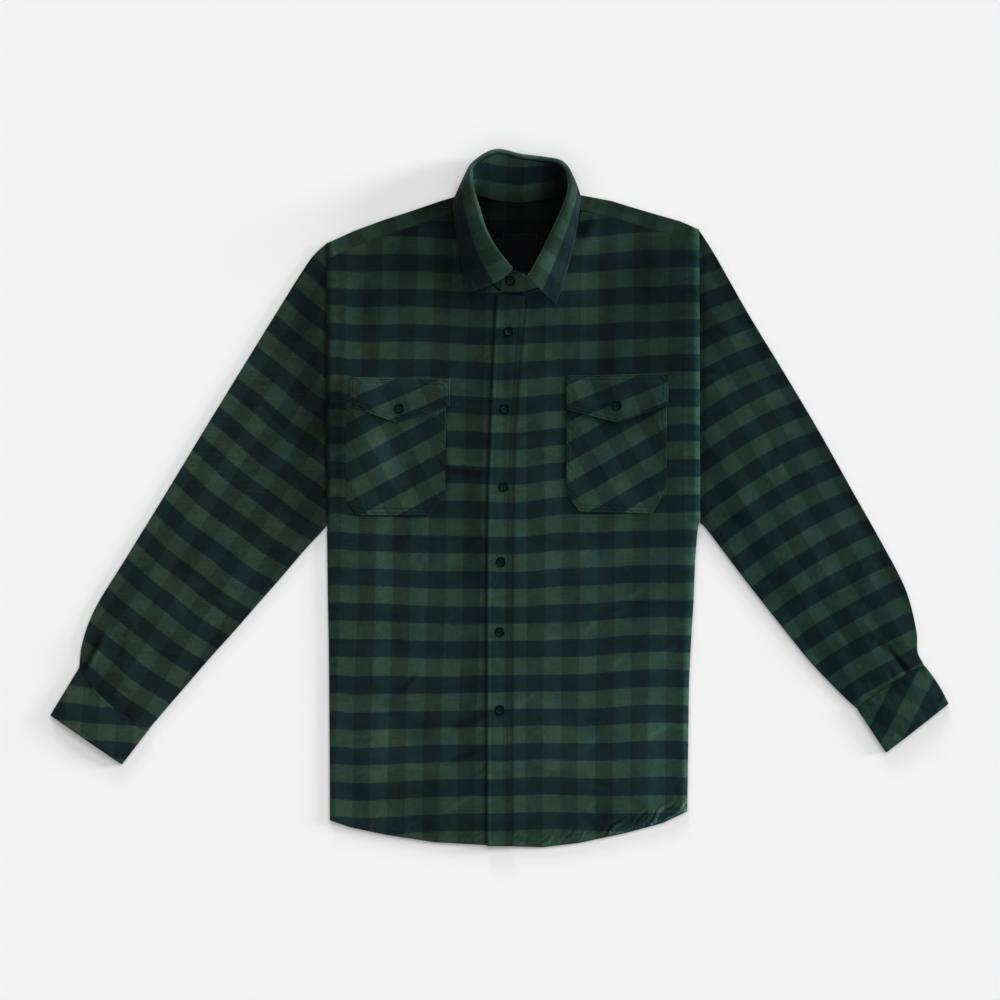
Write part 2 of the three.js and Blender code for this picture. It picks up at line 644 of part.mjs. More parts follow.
const flannel = new THREE.MeshStandardMaterial({ color: 0x1d332c, roughness: 0.95, metalness: 0 });
const resin = new THREE.MeshStandardMaterial({ color: 0x0d1414, roughness: 0.3, metalness: 0 });
const satin = new THREE.MeshStandardMaterial({ color: 0x101214, roughness: 0.6, metalness: 0 });

const shirt = new THREE.Group();

function place(name, geometry, material) {
  const mesh = new THREE.Mesh(geometry, material);
  mesh.name = name;
  shirt.add(mesh);
  return mesh;
}

function placeButton(name, spot, height) {
  place(name, button(), resin).position.set(spot.x, spot.y, height + gap);
}

place("back", backPanel(), flannel);
place("yoke", yoke(), flannel);
place("front_right", frontPanel(shoulderRight, neckRight, "right", underlapX), flannel);
place("front_left", frontPanel(shoulderLeft, neckLeft, "left", leftFrontX), flannel);
place("placket", placket(), flannel);
place("collar_stand", collarStand(), flannel);
place("collar_fall", collarFall(), flannel);
place("sleeve_right", flatTube(sleeveRight, 22, 18, cloth, sleeveFolds), flannel);
place("sleeve_left", flatTube(sleeveLeft, 22, 18, cloth, sleeveFolds), flannel);
place("cuff_right", flatTube(cuffRight, 4, 16, doubled, []), flannel);
place("cuff_left", flatTube(cuffLeft, 4, 16, doubled, []), flannel);
place("pocket_right", patch(pocketRight, 9, 9, pocketUnder), flannel);
place("pocket_left", patch(pocketLeft, 9, 9, pocketUnder), flannel);
place("flap_right", patch(flapRight, 8, 4, flapUnder(flapRight)), flannel);
place("flap_left", patch(flapLeft, 8, 4, flapUnder(flapLeft)), flannel);

const labelUnder = cloth + gap;
const labelShape = [
  [label.x - label.width / 2, label.y - label.height / 2],
  [label.x + label.width / 2, label.y - label.height / 2],
  [label.x + label.width / 2, label.y + label.height / 2],
  [label.x - label.width / 2, label.y + label.height / 2],
];
place("neck_label", plate(labelShape, label.thickness, labelUnder), satin);

const standTop = 10.4; // height of the stand's overlapping end under its button
placeButton("button_stand", standButton, standTop);
frontButtons.forEach((spot, index) => {
  placeButton(`button_${index + 1}`, spot, frontOver(spot.x, spot.y) + layGap + doubled);
});
const flapOver = (rows, spot) => flapUnder(rows)(spot.x, spot.y) + cloth;
placeButton("button_flap_right", flapButtonRight, flapOver(flapRight, flapButtonRight));
placeButton("button_flap_left", flapButtonLeft, flapOver(flapLeft, flapButtonLeft));

export default shirt;
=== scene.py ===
"""A flannel shirt laid flat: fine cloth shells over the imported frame, seen from straight above."""

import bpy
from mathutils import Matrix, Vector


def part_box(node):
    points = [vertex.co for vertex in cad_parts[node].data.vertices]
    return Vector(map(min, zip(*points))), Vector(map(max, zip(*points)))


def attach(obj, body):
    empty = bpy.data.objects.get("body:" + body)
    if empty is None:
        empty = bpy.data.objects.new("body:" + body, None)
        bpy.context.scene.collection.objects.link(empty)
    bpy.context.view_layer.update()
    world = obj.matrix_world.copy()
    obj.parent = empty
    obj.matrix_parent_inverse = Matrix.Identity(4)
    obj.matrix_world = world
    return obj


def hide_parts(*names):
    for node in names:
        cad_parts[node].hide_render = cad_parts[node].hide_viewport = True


bl_info = {
    "name": "Flannel Shirt, Laid Flat",
    "version": (1, 0, 0),
    "blender": (4, 5, 0),
    "location": "3D View > Sidebar > Shirt",
    "description": "Makes the cloth, buttons, sewing and studio of a checked flannel shirt",
    "category": "Object",
}

import math

import bmesh
import bpy
import numpy as np
from bpy.props import FloatProperty, FloatVectorProperty, IntProperty, PointerProperty
from mathutils import Matrix, Vector

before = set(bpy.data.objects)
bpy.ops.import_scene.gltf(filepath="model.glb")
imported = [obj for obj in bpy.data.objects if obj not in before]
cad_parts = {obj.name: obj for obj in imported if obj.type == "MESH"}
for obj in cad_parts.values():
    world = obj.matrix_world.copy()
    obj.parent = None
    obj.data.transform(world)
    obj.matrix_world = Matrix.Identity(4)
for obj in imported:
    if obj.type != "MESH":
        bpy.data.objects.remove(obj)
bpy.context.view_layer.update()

MM = 0.001
CLOTH = 1.2
DOUBLED = 1.8
GAP = 0.3
LAY_GAP = 0.5
AIR = 3.0
EASE_IN = 70.0
STRIP_WIDTH = 18.0
YOKE_BOTTOM = 238.0
ROUNDING = 0.9
SQUARE = 0.2
SEAM_GAP = -0.1
LAP = 1.4
LAP_RISE = 1.8
# Width of the painted highlight along cut edges, in millimetres.
EDGE_HIGHLIGHT_WIDTH = 1.6
ARM_Y = 312.0


def table(columns, *rows):
    """A small table with named columns, read as arrays."""
    return dict(zip(columns.split(), np.array(rows, float).T))


SIDES = table(
    "y right left",
    (-402, -194.8, 215.2),
    (-289, -195.2, 216.8),
    (-209, -195.8, 217.9),
    (-163, -196.2, 220.2),
    (-116, -197.2, 223.2),
    (-71, -197.8, 224.8),
    (-37, -198.2, 227.5),
    (-25, -197.2, 229.2),
    (312, -197.2, 228),
)
SHOULDER_RIGHT = table(
    "x y", (-197.2, 295), (-167, 308.8), (-136, 320.3), (-100, 332), (-67, 343.3), (-36, 352.5)
)
SHOULDER_LEFT = table("x y", (86, 351.3), (128, 343.3), (166, 331.8), (208, 319.7), (228, 311))
NECK_RIGHT = table(
    "x y", (-48, 331), (-34.8, 302.7), (-27.7, 277.1), (-17, 255), (-3, 241.1), (13.7, 236.2), (30, 235.2)
)
NECK_LEFT = table(
    "x y",
    (14, 236),
    (23.8, 236.2),
    (45.9, 241.6),
    (64.1, 255.8),
    (78.2, 279.2),
    (86.3, 305),
    (93, 331),
)
HEM = table(
    "x y",
    (-195, -368.6),
    (-172, -376.6),
    (-130, -385.5),
    (-75, -393.9),
    (7, -398.5),
    (49, -399.6),
    (90, -395),
    (145, -383.5),
    (187, -372),
    (216, -358.2),
)
PLACKET = table(
    "y free sewn",
    (-398, -14.4, 13.7),
    (-115, -14.6, 13.7),
    (13, -12.9, 15.5),
    (74, -10.7, 17),
    (136, -8.3, 21.6),
    (182, -6.1, 24.7),
    (233, -3.3, 30.5),
)
OVER_SEAM = 5.0
SLEEVE_COLUMNS = "out_x out_y in_x in_y rise bow"
SLEEVE_RIGHT = table(
    SLEEVE_COLUMNS,
    (-197.5, 294.7, -197.5, -28.2, 0.3, 0),
    (-218, 274, -203.5, -35, 2.6, 0),
    (-258, 211, -226, -59.5, 4, 2),
    (-300, 143, -252, -90, 4.2, 3),
    (-343, 73, -278, -119.5, 4.2, 4),
    (-386, 2, -305, -150.5, 4.4, 5),
    (-428.5, -67, -333, -181.5, 4.6, 6),
    (-463.5, -124, -358, -210.5, 4.8, 7),
    (-478.5, -163, -381, -237, 4.4, 8),
    (-482.7, -193.9, -402.5, -262.4, 1.6, 8),
)
CUFF_RIGHT = table(
    SLEEVE_COLUMNS,
    (-482.8, -194.1, -402.6, -262.6, 0.9, 8),
    (-493.5, -212, -413, -276.2, 2.2, 5),
    (-504.5, -230, -424, -290.4, 2.2, 2),
    (-515.6, -248.4, -434.6, -304.2, 1.6, 0),
)
SLEEVE_LEFT = table(
    SLEEVE_COLUMNS,
    (228.2, 310.2, 229.4, -25, 0.3, 0),
    (247, 281, 238, -33, 2.6, 0),
    (285, 214, 258.5, -60, 4, 2),
    (327, 145, 282, -91, 4.2, 3),
    (368, 76, 305, -120.5, 4.2, 4),
    (405.5, 9, 330, -152, 4.4, 5),
    (440.5, -53, 355, -183, 4.6, 6),
    (466.5, -104, 378, -208, 4.8, 5),
    (478.5, -150, 396, -226, 4.4, 4),
    (480, -175, 404.5, -234, 3.2, 4),
    (487.8, -191.1, 411.9, -240.5, 1.6, 4),
)
CUFF_LEFT = table(
    SLEEVE_COLUMNS,
    (488, -191.3, 412, -240.7, 0.9, 4),
    (498.4, -205.1, 423, -257.2, 2.2, 3),
    (507.6, -219.7, 434, -273.8, 2.2, 1.5),
    (515.6, -235.2, 445, -290.4, 1.6, 0),
)
COLLAR = table(
    "seam_x seam_y seam_z top_x top_y top_z",
    (31, 237, 5.6, 30, 260, 7),
    (14, 238, 5.2, 14, 262.5, 8),
    (-2, 242.6, 5.2, 4.5, 273, 13),
    (-15.5, 255.9, 5, -6.5, 289, 17),
    (-26, 277.7, 5, -16, 307.6, 20.5),
    (-33, 303, 4.6, -22.4, 328, 22),
    (-36, 328.3, 4, -28.2, 348, 22),
    (-34.5, 346, 3, -31.5, 367, 21),
    (-24, 349, 1.6, -27, 381.5, 18),
    (-5.2, 344, 1.2, -4, 394.6, 15),
    (21.3, 341, 1.2, 23.6, 389.4, 14.5),
    (47.7, 344, 1.2, 52, 385.4, 15),
    (69.6, 349, 1.6, 69.8, 381.6, 18),
    (83.4, 346, 3, 78.6, 364.5, 21),
    (87.5, 329.5, 4, 77, 344, 22),
    (84.5, 305.3, 4.6, 68, 321, 22),
    (76.5, 280, 5, 57.5, 298, 20.5),
    (62.7, 257, 5.4, 45.8, 275, 17.3),
    (45, 243.2, 6.8, 33.8, 256.5, 12.8),
    (23.6, 238, 7.6, 18.5, 262.5, 11.2),
    (1.5, 237.8, 7.4, 2.5, 260, 9.8),
)
FALL_FIRST = 1
FALL = table(
    "edge_x edge_y edge_z roll turn crown",
    (-36.2, 236.9, 9.6, 3.4, 165, 1),
    (-40, 256, 8.8, 3, 155, 1.5),
    (-44.5, 277, 8.2, 2.4, 140, 1.5),
    (-48, 298, 8, 2.6, 135, 1.5),
    (-51, 318, 7.6, 2.8, 135, 1.5),
    (-52.5, 334, 7, 2.8, 135, 1.5),
    (-51, 347, 6, 2.8, 140, 1),
    (-42, 356.5, 2.6, 3.2, 150, 0),
    (-14, 358, 1.1, 4.5, 175, 0),
    (21.3, 357, 1.1, 4.5, 175, 0),
    (56, 357, 1.1, 4.5, 175, 0),
    (82, 357.5, 2.6, 3.2, 150, 0),
    (92, 350, 6, 2.8, 140, 1),
    (91.5, 332, 7, 2.8, 135, 1.5),
    (88, 308, 7.6, 2.6, 135, 1.5),
    (82.5, 282, 8, 2.4, 140, 1.5),
    (75, 254, 8.2, 2, 150, 1.5),
    (64.4, 222.5, 9, 1.8, 160, 1),
)
STAND_THICKNESS = 1.5
FALL_THICKNESS = 1.6
ROLL_GAP = 0.7

POCKET_COLUMNS = "x top bottom"
POCKET_RIGHT = table(
    POCKET_COLUMNS, (-176, 122, -0.6), (-164, 122, -18), (-81, 124, -17.8), (-62, 124, 6)
)
POCKET_LEFT = table(
    POCKET_COLUMNS, (77, 127, 5.2), (92, 127, -13.8), (175, 127, -16.1), (191.8, 127, 11.3)
)
FLAP_RIGHT = table(POCKET_COLUMNS, (-171.5, 140.2, 107.1), (-117.9, 138.8, 88), (-57, 137.4, 107.1))
FLAP_LEFT = table(POCKET_COLUMNS, (77, 142.5, 102.6), (136.5, 143.2, 88), (193.6, 143.9, 108.7))
POCKET_LAYER = CLOTH + LAY_GAP

BUTTONS = {
    "button_1": (10.3, 192.7),
    "button_2": (5.8, 104.1),
    "button_3": (4.6, 14.4),
    "button_4": (1.7, -71.5),
    "button_5": (0.3, -152),
    "button_6": (0.6, -241.5),
}
FLAP_BUTTONS = {"button_flap_right": (-115, 104.4), "button_flap_left": (134.5, 108.2)}
STAND_BUTTON = (12.5, 250.7)

FOLD_COLUMNS = "from_x from_y to_x to_y wide high"
BODY_FOLDS = table(
    FOLD_COLUMNS,
    (-70, 42, -22, 32, 13, 1.0),
    (-170, 95, -198, 80, 13, -0.7),
    (165, -40, 160, -190, 20, 1.4),
    (128, -60, 132, -175, 18, -0.8),
    (-130, -235, -80, -190, 17, 1.2),
    (-60, -270, -10, -250, 18, -0.8),
    (120, -290, 122, -380, 19, 1.1),
    (-95, -345, -70, -385, 16, 0.9),
)
BODY_CREASES = table(
    FOLD_COLUMNS,
    (-60, 38.5, -14, 33, 4, 0.9),
    (-62, 33, -18, 27, 4, -0.7),
    (-55, 105, -14, 99, 5, 0.8),
    (-195, 87, -174, 91, 4, -0.9),
    (-196, 96, -178, 101, 4, 0.6),
    (-195, 40, -170, 44, 4, -0.9),
    (-197, 48, -176, 53, 4, 0.6),
    (-114, -221, -92, -199, 5, 0.9),
    (-106, -228, -84, -207, 5, -0.6),
    (-52, -240, -18, -258, 7, -0.7),
    (-90, -320, -76, -334, 6, -0.6),
    (18, -383, 44, -395, 4, 0.6),
    (100, -356, 128, -392, 5, 0.7),
    (150, -345, 175, -374, 5, -0.6),
    (190, -330, 208, -360, 5, 0.6),
    (60, 190, 110, 215, 9, 0.5),
    (150, 270, 190, 235, 8, 0.6),
    (205, 205, 224, 180, 6, 0.5),
    (-150, 235, -110, 262, 9, 0.5),
    (-185, 170, -160, 190, 7, -0.5),
    (40, 60, 66, 48, 7, 0.5),
    (30, -60, 70, -52, 8, -0.4),
    (85, -110, 120, -128, 7, 0.5),
    (-180, -90, -140, -100, 8, 0.5),
    (-80, -60, -40, -72, 8, 0.4),
    (175, -240, 205, -262, 7, -0.5),
    (30, -300, 80, -312, 8, 0.5),
    (90, 306, 104, 323, 3.2, -1.3),
    (98, 303, 114, 320, 4, 0.8),
    (-40, -262, -16, -214, 6, 0.9),
    (-70, -250, -20, -232, 6, -0.8),
    (-60, -330, -20, -290, 5, 0.7),
    (-175, -300, -130, -318, 8, -0.5),
)
SLEEVE_FOLDS = table(
    FOLD_COLUMNS,
    (-240, 140, -205, 60, 20, -1.2),
    (-290, 20, -240, -70, 20, 1.3),
    (-395, -60, -330, -150, 18, -1.1),
    (-452, -150, -474, -192, 9, -1.6),
    (-418, -135, -440, -215, 12, 1.2),
    (236, 146, 262, 116, 14, -1.3),
    (300, 60, 262, -40, 20, 1.3),
    (408, -50, 350, -140, 19, -1.1),
    (446, -160, 468, -200, 9, -1.7),
    (400, -120, 440, -215, 12, 1.2),
)
SLEEVE_CREASES = table(
    FOLD_COLUMNS,
    (229, 141, 247, 148, 4, -1.0),
    (229, 133, 250, 139, 4, 0.7),
    (229, 101, 264, 117, 5, -1.0),
    (229, 92, 266, 108, 5, 0.7),
    (-199, 120, -222, 128, 5, -0.8),
    (-199, 40, -230, 30, 6, 0.7),
    (-205, -20, -262, -18, 7, -0.9),
    (236, -18, 290, -30, 7, -0.9),
    (-455, -160, -476, -197, 3.5, -1.5),
    (-446, -152, -466, -196, 4.5, 1.0),
    (-419, -132, -432, -172, 5, 0.8),
    (-432, -172, -446, -214, 4, -0.8),
    (443, -168, 470, -200, 3.5, -1.6),
    (434, -170, 460, -208, 4.5, 1.1),
    (417, -138, 434, -163, 4, 0.8),
    (434, -163, 454, -208, 4, -0.9),
    (385, -156, 396, -171, 4, 0.8),
    (396, -171, 424, -226, 5, -0.8),
    (-300, 60, -262, 84, 9, 0.6),
    (-350, -40, -305, -70, 9, -0.6),
    (-380, -110, -352, -160, 8, 0.6),
    (320, 100, 345, 60, 9, 0.6),
    (345, -30, 318, -88, 9, -0.6),
    (430, -90, 395, -150, 8, 0.6),
)


# Painted shade and painted highlights for folds and light: spots at x, y, wide by high, by amount.
PAINTED_SHADE_SPOTS = table(
    "x y wide high amount",
    (-216, 114, 26, 170, -0.7),
    (187, 195, 22, 130, -0.55),
    (-250, 40, 50, 110, -0.15),
    (-120, 250, 60, 60, -0.12),
    (-155, 230, 28, 90, -0.2),
    (-100, 0, 30, 400, -0.1),
    (-115, 275, 22, 55, -0.15),
    (-35, 60, 22, 220, -0.14),
    (46, 250, 22, 35, 0.25),
    (126, 150, 22, 160, -0.2),
    (175, 265, 26, 45, -0.35),
    (214, 250, 20, 100, -0.3),
    (175, -90, 20, 80, -0.14),
    (-75, 345, 25, 20, -1.2),
    (140, 345, 50, 20, -0.45),
    (167, 348, 24, 16, -0.9),
    (-195, 82, 20, 38, -0.3),
    (-250, 60, 50, 90, -0.15),
    (167, 282, 22, 30, -0.25),
    (247, 225, 22, 50, -0.32),
    (-55, 250, 36, 80, -0.16),
    (-35, 245, 18, 35, -0.18),
    (126, 165, 20, 40, -0.22),
    (170, 90, 14, 22, -0.25),
    (207, 160, 18, 35, -0.2),
    (412, -130, 22, 50, -0.28),
    (448, -98, 16, 30, -0.28),
    (248, 50, 16, 30, -0.28),
    (-75, -345, 22, 20, -0.3),
    (126, -200, 18, 40, -0.16),
    (-155, 222, 18, 18, -0.2),
    (-115, 265, 18, 20, -0.2),
    (70, 330, 50, 30, -0.25),
    (-80, 330, 60, 30, -0.2),
    (187, -40, 20, 90, -0.3),
    (-57, 316, 26, 40, -0.7),
    (-45, 60, 35, 230, -0.15),
    (-178, 80, 15, 60, -0.3),
    (-135, 60, 22, 60, 0.28),
    (-134, -150, 10, 240, 0.2),
    (147, 206, 40, 90, -0.24),
    (0, 230, 300, 110, -0.13),
    (340, 0, 110, 200, -0.2),
    (-350, -70, 60, 80, -0.18),
    (-400, -130, 60, 90, -0.18),
    (60, -290, 70, 110, 0.14),
    (180, -290, 28, 100, 0.22),
    (-135, -310, 30, 70, 0.16),
    (120, -362, 12, 24, -0.45),
    (468, -140, 30, 50, -0.3),
    (368, -170, 30, 50, 0.16),
    (-417, -277, 25, 25, 0.2),
    (30, 245, 24, 22, 0.2),
    (97, 314, 7, 11, -0.8),
    (88, 265, 14, 50, 0.45),
    (64, 266, 11, 24, 0.28),
    (52, 384, 18, 10, -0.45),
    (-114, 285, 18, 40, -0.2),
    (167, 262, 20, 55, -0.22),
    (-235, 205, 20, 45, -0.3),
    (248, 205, 18, 45, -0.22),
    (288, 143, 18, 22, -0.25),
    (248, 60, 18, 22, -0.15),
    (-195, 85, 18, 32, -0.25),
    (127, 140, 18, 16, -0.2),
    (167, 103, 14, 18, -0.18),
    (-255, -15, 34, 30, -0.22),
    (-34, -60, 14, 130, -0.13),
    (167, -118, 18, 34, -0.16),
    (446, -150, 16, 70, -0.18),
    (5, -380, 60, 11, -0.16),
    (127, -340, 16, 16, -0.2),
    (-155, -140, 14, 14, 0.14),
    (-155, -300, 14, 20, 0.18),
    (167, -280, 14, 34, 0.12),
    (-50, 280, 16, 60, -0.45),
    (-29, 372, 9, 14, 0.3),
    (-14, 322, 22, 14, 0.75),
    (60, 305, 20, 34, -0.7),
    (-30, -205, 20, 14, -0.3),
    (-92, -268, 14, 12, -0.35),
    (187, 135, 16, 9, 0.25),
    (-70, 20, 18, 26, -0.25),
    (-175, 212, 14, 60, 0.3),
)
# Painted shadows and painted highlights along seams, pleats, pocket edges, the collar and creases.
PAINTED_SHADE_LINES = table(
    "from_x from_y to_x to_y wide high",
    (-482, -196, -403, -263, 5, -0.22),
    (487, -194, 412, -243, 4, -0.32),
    (-455, -150, -477, -195, 3.5, -0.8),
    (-449, -150, -468, -192, 4, 0.35),
    (-421, -138, -433, -172, 3.5, -0.5),
    (435, -162, 471, -199, 3.5, -0.8),
    (442, -158, 477, -196, 3, 0.4),
    (-212, 285, -212, -20, 15, -0.22),
    (-49, 345, -52, 300, 7, -0.35),
    (76, 142, 76, 4, 2, -0.8),
    (80, 99, 136, 85.5, 2.5, -0.5),
    (138, 85.5, 190, 105, 2.5, -0.5),
    (-61, 70, -61, 8, 2.2, -0.6),
    (94, 352, 46, 252, 9, 0.6),
    (60, 230, 40, 254, 7, 0.3),
    (-33, 378, -25, 330, 4, 0.25),
    (-205, -40, -385, -240, 26, -0.22),
    (232, 300, 470, -110, 24, -0.32),
    (-55, -264, -15, -247, 5, -0.6),
    (-57, -303, -20, -286, 4, -0.5),
    (-52, -240, -16, -256, 4, 0.25),
    (-63, -359, -29, -339, 2.6, 0.4),
    (-113, -221, -93, -198, 2.6, -0.6),
    (22, -239, 41, -222, 2.4, 0.35),
    (95, -291, 103, -281, 2.4, 0.35),
    (97, -154, 111, -139, 2.4, 0.35),
    (150, -113, 166, -101, 2.4, 0.3),
    (127, -193, 146, -179, 2.4, 0.35),
    (168, -274, 194, -260, 2.6, 0.35),
    (101, -357, 111, -346, 2.4, 0.35),
    (102, -283, 113, -271, 2.4, 0.25),
    (185, -180, 205, -168, 2.6, 0.3),
    (-62, 35, -16, 30, 5, -0.45),
    (-60, 40, -18, 36, 3, 0.3),
    (95, 298, 108, 326, 4, -0.5),
)


def smooth(t):
    held = np.clip(t, 0, 1)
    return held * held * (3 - 2 * held)


def mix(a, b, t):
    return a + (b - a) * t


def read_off(rows, key, at, column):
    """Reads one column against another that rises along the table."""
    return np.interp(at, rows[key], rows[column])


def along(rows, t, column):
    """Reads a column along the rows on a smooth curve, t running from 0 to 1 over all of them."""
    values = rows[column]
    last = len(values) - 2
    place = np.clip(t, 0, 1) * (len(values) - 1)
    i = np.minimum(np.floor(place).astype(int), last)
    f = place - i
    now, then = values[i], values[i + 1]
    before = np.where(i > 0, values[np.maximum(i - 1, 0)], 2 * now - then)
    after = np.where(i < last, values[np.minimum(i + 2, last + 1)], 2 * then - now)
    bend = 2 * before - 5 * now + 4 * then - after
    turn = 3 * (now - then) + after - before
    return now + 0.5 * f * (then - before + f * (bend + f * turn))


def folds_at(rows, x, y):
    """Height that ridges and troughs add at a point, each fading out towards its ends."""
    height = np.zeros(np.shape(x))
    for x0, y0, x1, y1, wide, high in zip(*(rows[c] for c in FOLD_COLUMNS.split())):
        run_x, run_y = x1 - x0, y1 - y0
        run = math.hypot(run_x, run_y)
        t = ((x - x0) * run_x + (y - y0) * run_y) / run**2
        off = ((x - x0) * run_y - (y - y0) * run_x) / run
        fade = smooth((t + 0.15) / 0.4) * smooth((1.15 - t) / 0.4)
        height = height + high * fade * np.exp(-((off / wide) ** 2))
    return height


def ripple(x, y, seed, height=0.3):
    """The slight unevenness of cloth that has been worn and laid down, in soft waves."""
    draw = np.random.default_rng(seed)
    total = np.zeros(np.shape(x))
    for _ in range(9):
        angle, length, phase = draw.uniform(0, math.pi), draw.uniform(26, 95), draw.uniform(0, 6.3)
        run = (x * math.cos(angle) + y * math.sin(angle)) * 2 * math.pi / length
        total += np.sin(run + phase + 0.6 * np.sin(run * 0.37 + phase)) * height / 2
    return total


def floor_height(x, y):
    """Height of the surface under the shirt, which is flat."""
    return 0 * x


def crumple_lines(seed, count, low, high, slant, spread):
    """Places fine creases over an area, most of them running the same way."""
    draw = np.random.default_rng(seed)
    rows = []
    for _ in range(count):
        x, y = draw.uniform(low[0], high[0]), draw.uniform(low[1], high[1])
        angle = math.radians(draw.normal(slant, spread))
        half = draw.uniform(8, 30)
        wide = draw.uniform(2.2, 6)
        tall = draw.choice([-1, 1]) * draw.uniform(0.08, 0.17) * wide
        run_x, run_y = half * math.cos(angle), half * math.sin(angle)
        rows.append((x - run_x, y - run_y, x + run_x, y + run_y, wide, tall))
    return table(FOLD_COLUMNS, *rows)


def pucker(distance, run, pitch, high, reach, seed):
    """The small gathers that a row of stitches draws up beside a seam."""
    draw = np.random.default_rng(seed)
    waves = np.sin(run * 2 * math.pi / pitch + draw.uniform(0, 6))
    waves += 0.7 * np.sin(run * 2 * math.pi / (pitch * 1.63) + draw.uniform(0, 6))
    return high * waves * np.exp(-((distance / reach) ** 2))


def shade_at(x, y):
    """How light or dark the cloth is drawn: painted shade and highlights, 1 where plain."""
    total = np.zeros(np.shape(x))
    for at_x, at_y, wide, high, amount in zip(*(PAINTED_SHADE_SPOTS[c] for c in "x y wide high amount".split())):
        total += amount * np.exp(-(((x - at_x) / wide) ** 2) - ((y - at_y) / high) ** 2)
    total += folds_at(PAINTED_SHADE_LINES, x, y)
    # Painted highlight inside the body's +x edge, painted shade on the sleeve just past it.
    on_body = (y > -400) & (y < 345)
    from_left = side_x(y, "left") - x
    total += on_body * 0.9 * np.exp(-((np.maximum(from_left - 2, 0) / 3.5) ** 2)) * (from_left > -1.5)
    total -= on_body * 0.5 * np.exp(-(((from_left + 5) / 5) ** 2)) * (from_left < -1.5)
    # Painted shadow along the -x armhole, with a painted lighter band 8 mm inside it.
    from_right = x - side_x(y, "right")
    total -= on_body * 0.9 * np.exp(-((from_right / 2.6) ** 2)) * at_armhole(y)
    total += on_body * 0.25 * np.exp(-(((from_right - 8) / 5) ** 2)) * at_armhole(y)
    # Painted shadow by the placket's free edge, painted highlight inside it and shade at its sewn edge.
    on_placket = y < 233
    from_free = x - read_off(PLACKET, "y", y, "free")
    from_sewn = x - read_off(PLACKET, "y", y, "sewn")
    total -= on_placket * 1.2 * np.exp(-(((from_free + 1) / 1.9) ** 2))
    total += on_placket * 0.25 * np.exp(-(((from_free - 4.5) / 3) ** 2))
    total -= on_placket * 1.0 * np.exp(-(((from_sewn - 0.4) / 1.7) ** 2))
    return np.exp(total)


BODY_CRUMPLE = crumple_lines(17, 150, (-190, -390), (220, 340), 28, 22)
SLEEVE_CRUMPLE = {
    "sleeve_right": crumple_lines(23, 90, (-480, -250), (-200, 290), -25, 30),
    "sleeve_left": crumple_lines(29, 90, (230, -230), (480, 290), 25, 30),
}


def side_x(y, side):
    return read_off(SIDES, "y", y, side)


def at_armhole(y):
    """1 beside the sleeve and 0 below it, where the body's edge lies over the sleeve's end."""
    return smooth((y + 32) / 10)


def front_under(x, y):
    """Height of the fronts' underside over the table, in millimetres."""
    by_right = x < 25
    shoulder = np.where(
        by_right, read_off(SHOULDER_RIGHT, "x", x, "y"), read_off(SHOULDER_LEFT, "x", x, "y")
    )
    neck_end = np.where(by_right, x > SHOULDER_RIGHT["x"][-1], x < SHOULDER_LEFT["x"][0])
    from_top = np.where(neck_end, EASE_IN, shoulder - y)
    from_hem = y - read_off(HEM, "x", x, "y")
    from_right = x - side_x(y, "right")
    from_left = side_x(y, "left") - x
    rise = 1.0
    for distance in (from_top, from_hem, from_right, from_left):
        rise = rise * smooth(distance / EASE_IN)
    near_edge = np.minimum(np.minimum(from_hem, from_right), from_left)
    inside = smooth(near_edge / 30)
    height = CLOTH + GAP + AIR * rise + inside * folds_at(BODY_FOLDS, x, y)
    height += smooth(near_edge / 12) * folds_at(BODY_CREASES, x, y)
    height += smooth(np.minimum(near_edge, from_top) / 10) * (ripple(x, y, 4) + folds_at(BODY_CRUMPLE, x, y))
    side = np.minimum(from_right, from_left)
    height += LAP_RISE * at_armhole(y) * smooth((8 - side) / 6)
    height += smooth(side / 3) * pucker(side, y, 13, 0.3, 16, 7)
    return height


def front_over(x, y):
    return front_under(x, y) + CLOTH


def stations(length, step, fine=(0.12, 0.35, 0.7, 1.2, 2.0), lines=()):
    """Places from 0 to 1 along a length, closer at both ends and at stitch lines."""
    count = max(2, int(round(length / step)))
    places = list(np.linspace(0, length, count + 1))
    for d in fine:
        places += [d, length - d]
    for d in lines:
        for off in (-0.9, -0.45, 0, 0.45, 0.9):
            places += [d + off, length - d - off]
    places = np.unique(np.round([p for p in places if 0 <= p <= length], 3))
    keep = [places[0]]
    for p in places[1:]:
        if p - keep[-1] > 0.09:
            keep.append(p)
    keep[-1] = length
    return np.array(keep) / length


def distances(mid, across=True):
    """Distance of each grid point from the grid's borders, along rows or columns, in millimetres."""
    steps = np.linalg.norm(np.diff(mid, axis=1 if across else 0), axis=2)
    if across:
        run = np.concatenate([np.zeros((mid.shape[0], 1)), np.cumsum(steps, axis=1)], axis=1)
        return np.minimum(run, run[:, -1:] - run)
    run = np.concatenate([np.zeros((1, mid.shape[1])), np.cumsum(steps, axis=0)], axis=0)
    return np.minimum(run, run[-1:, :] - run)


def normals_of(mid, wraps):
    if wraps:
        along_u = np.roll(mid, -1, axis=1) - np.roll(mid, 1, axis=1)
    else:
        along_u = np.gradient(mid, axis=1)
    along_v = np.gradient(mid, axis=0)
    out = np.cross(along_u, along_v)
    length = np.linalg.norm(out, axis=2, keepdims=True)
    return out / np.maximum(length, 1e-9)


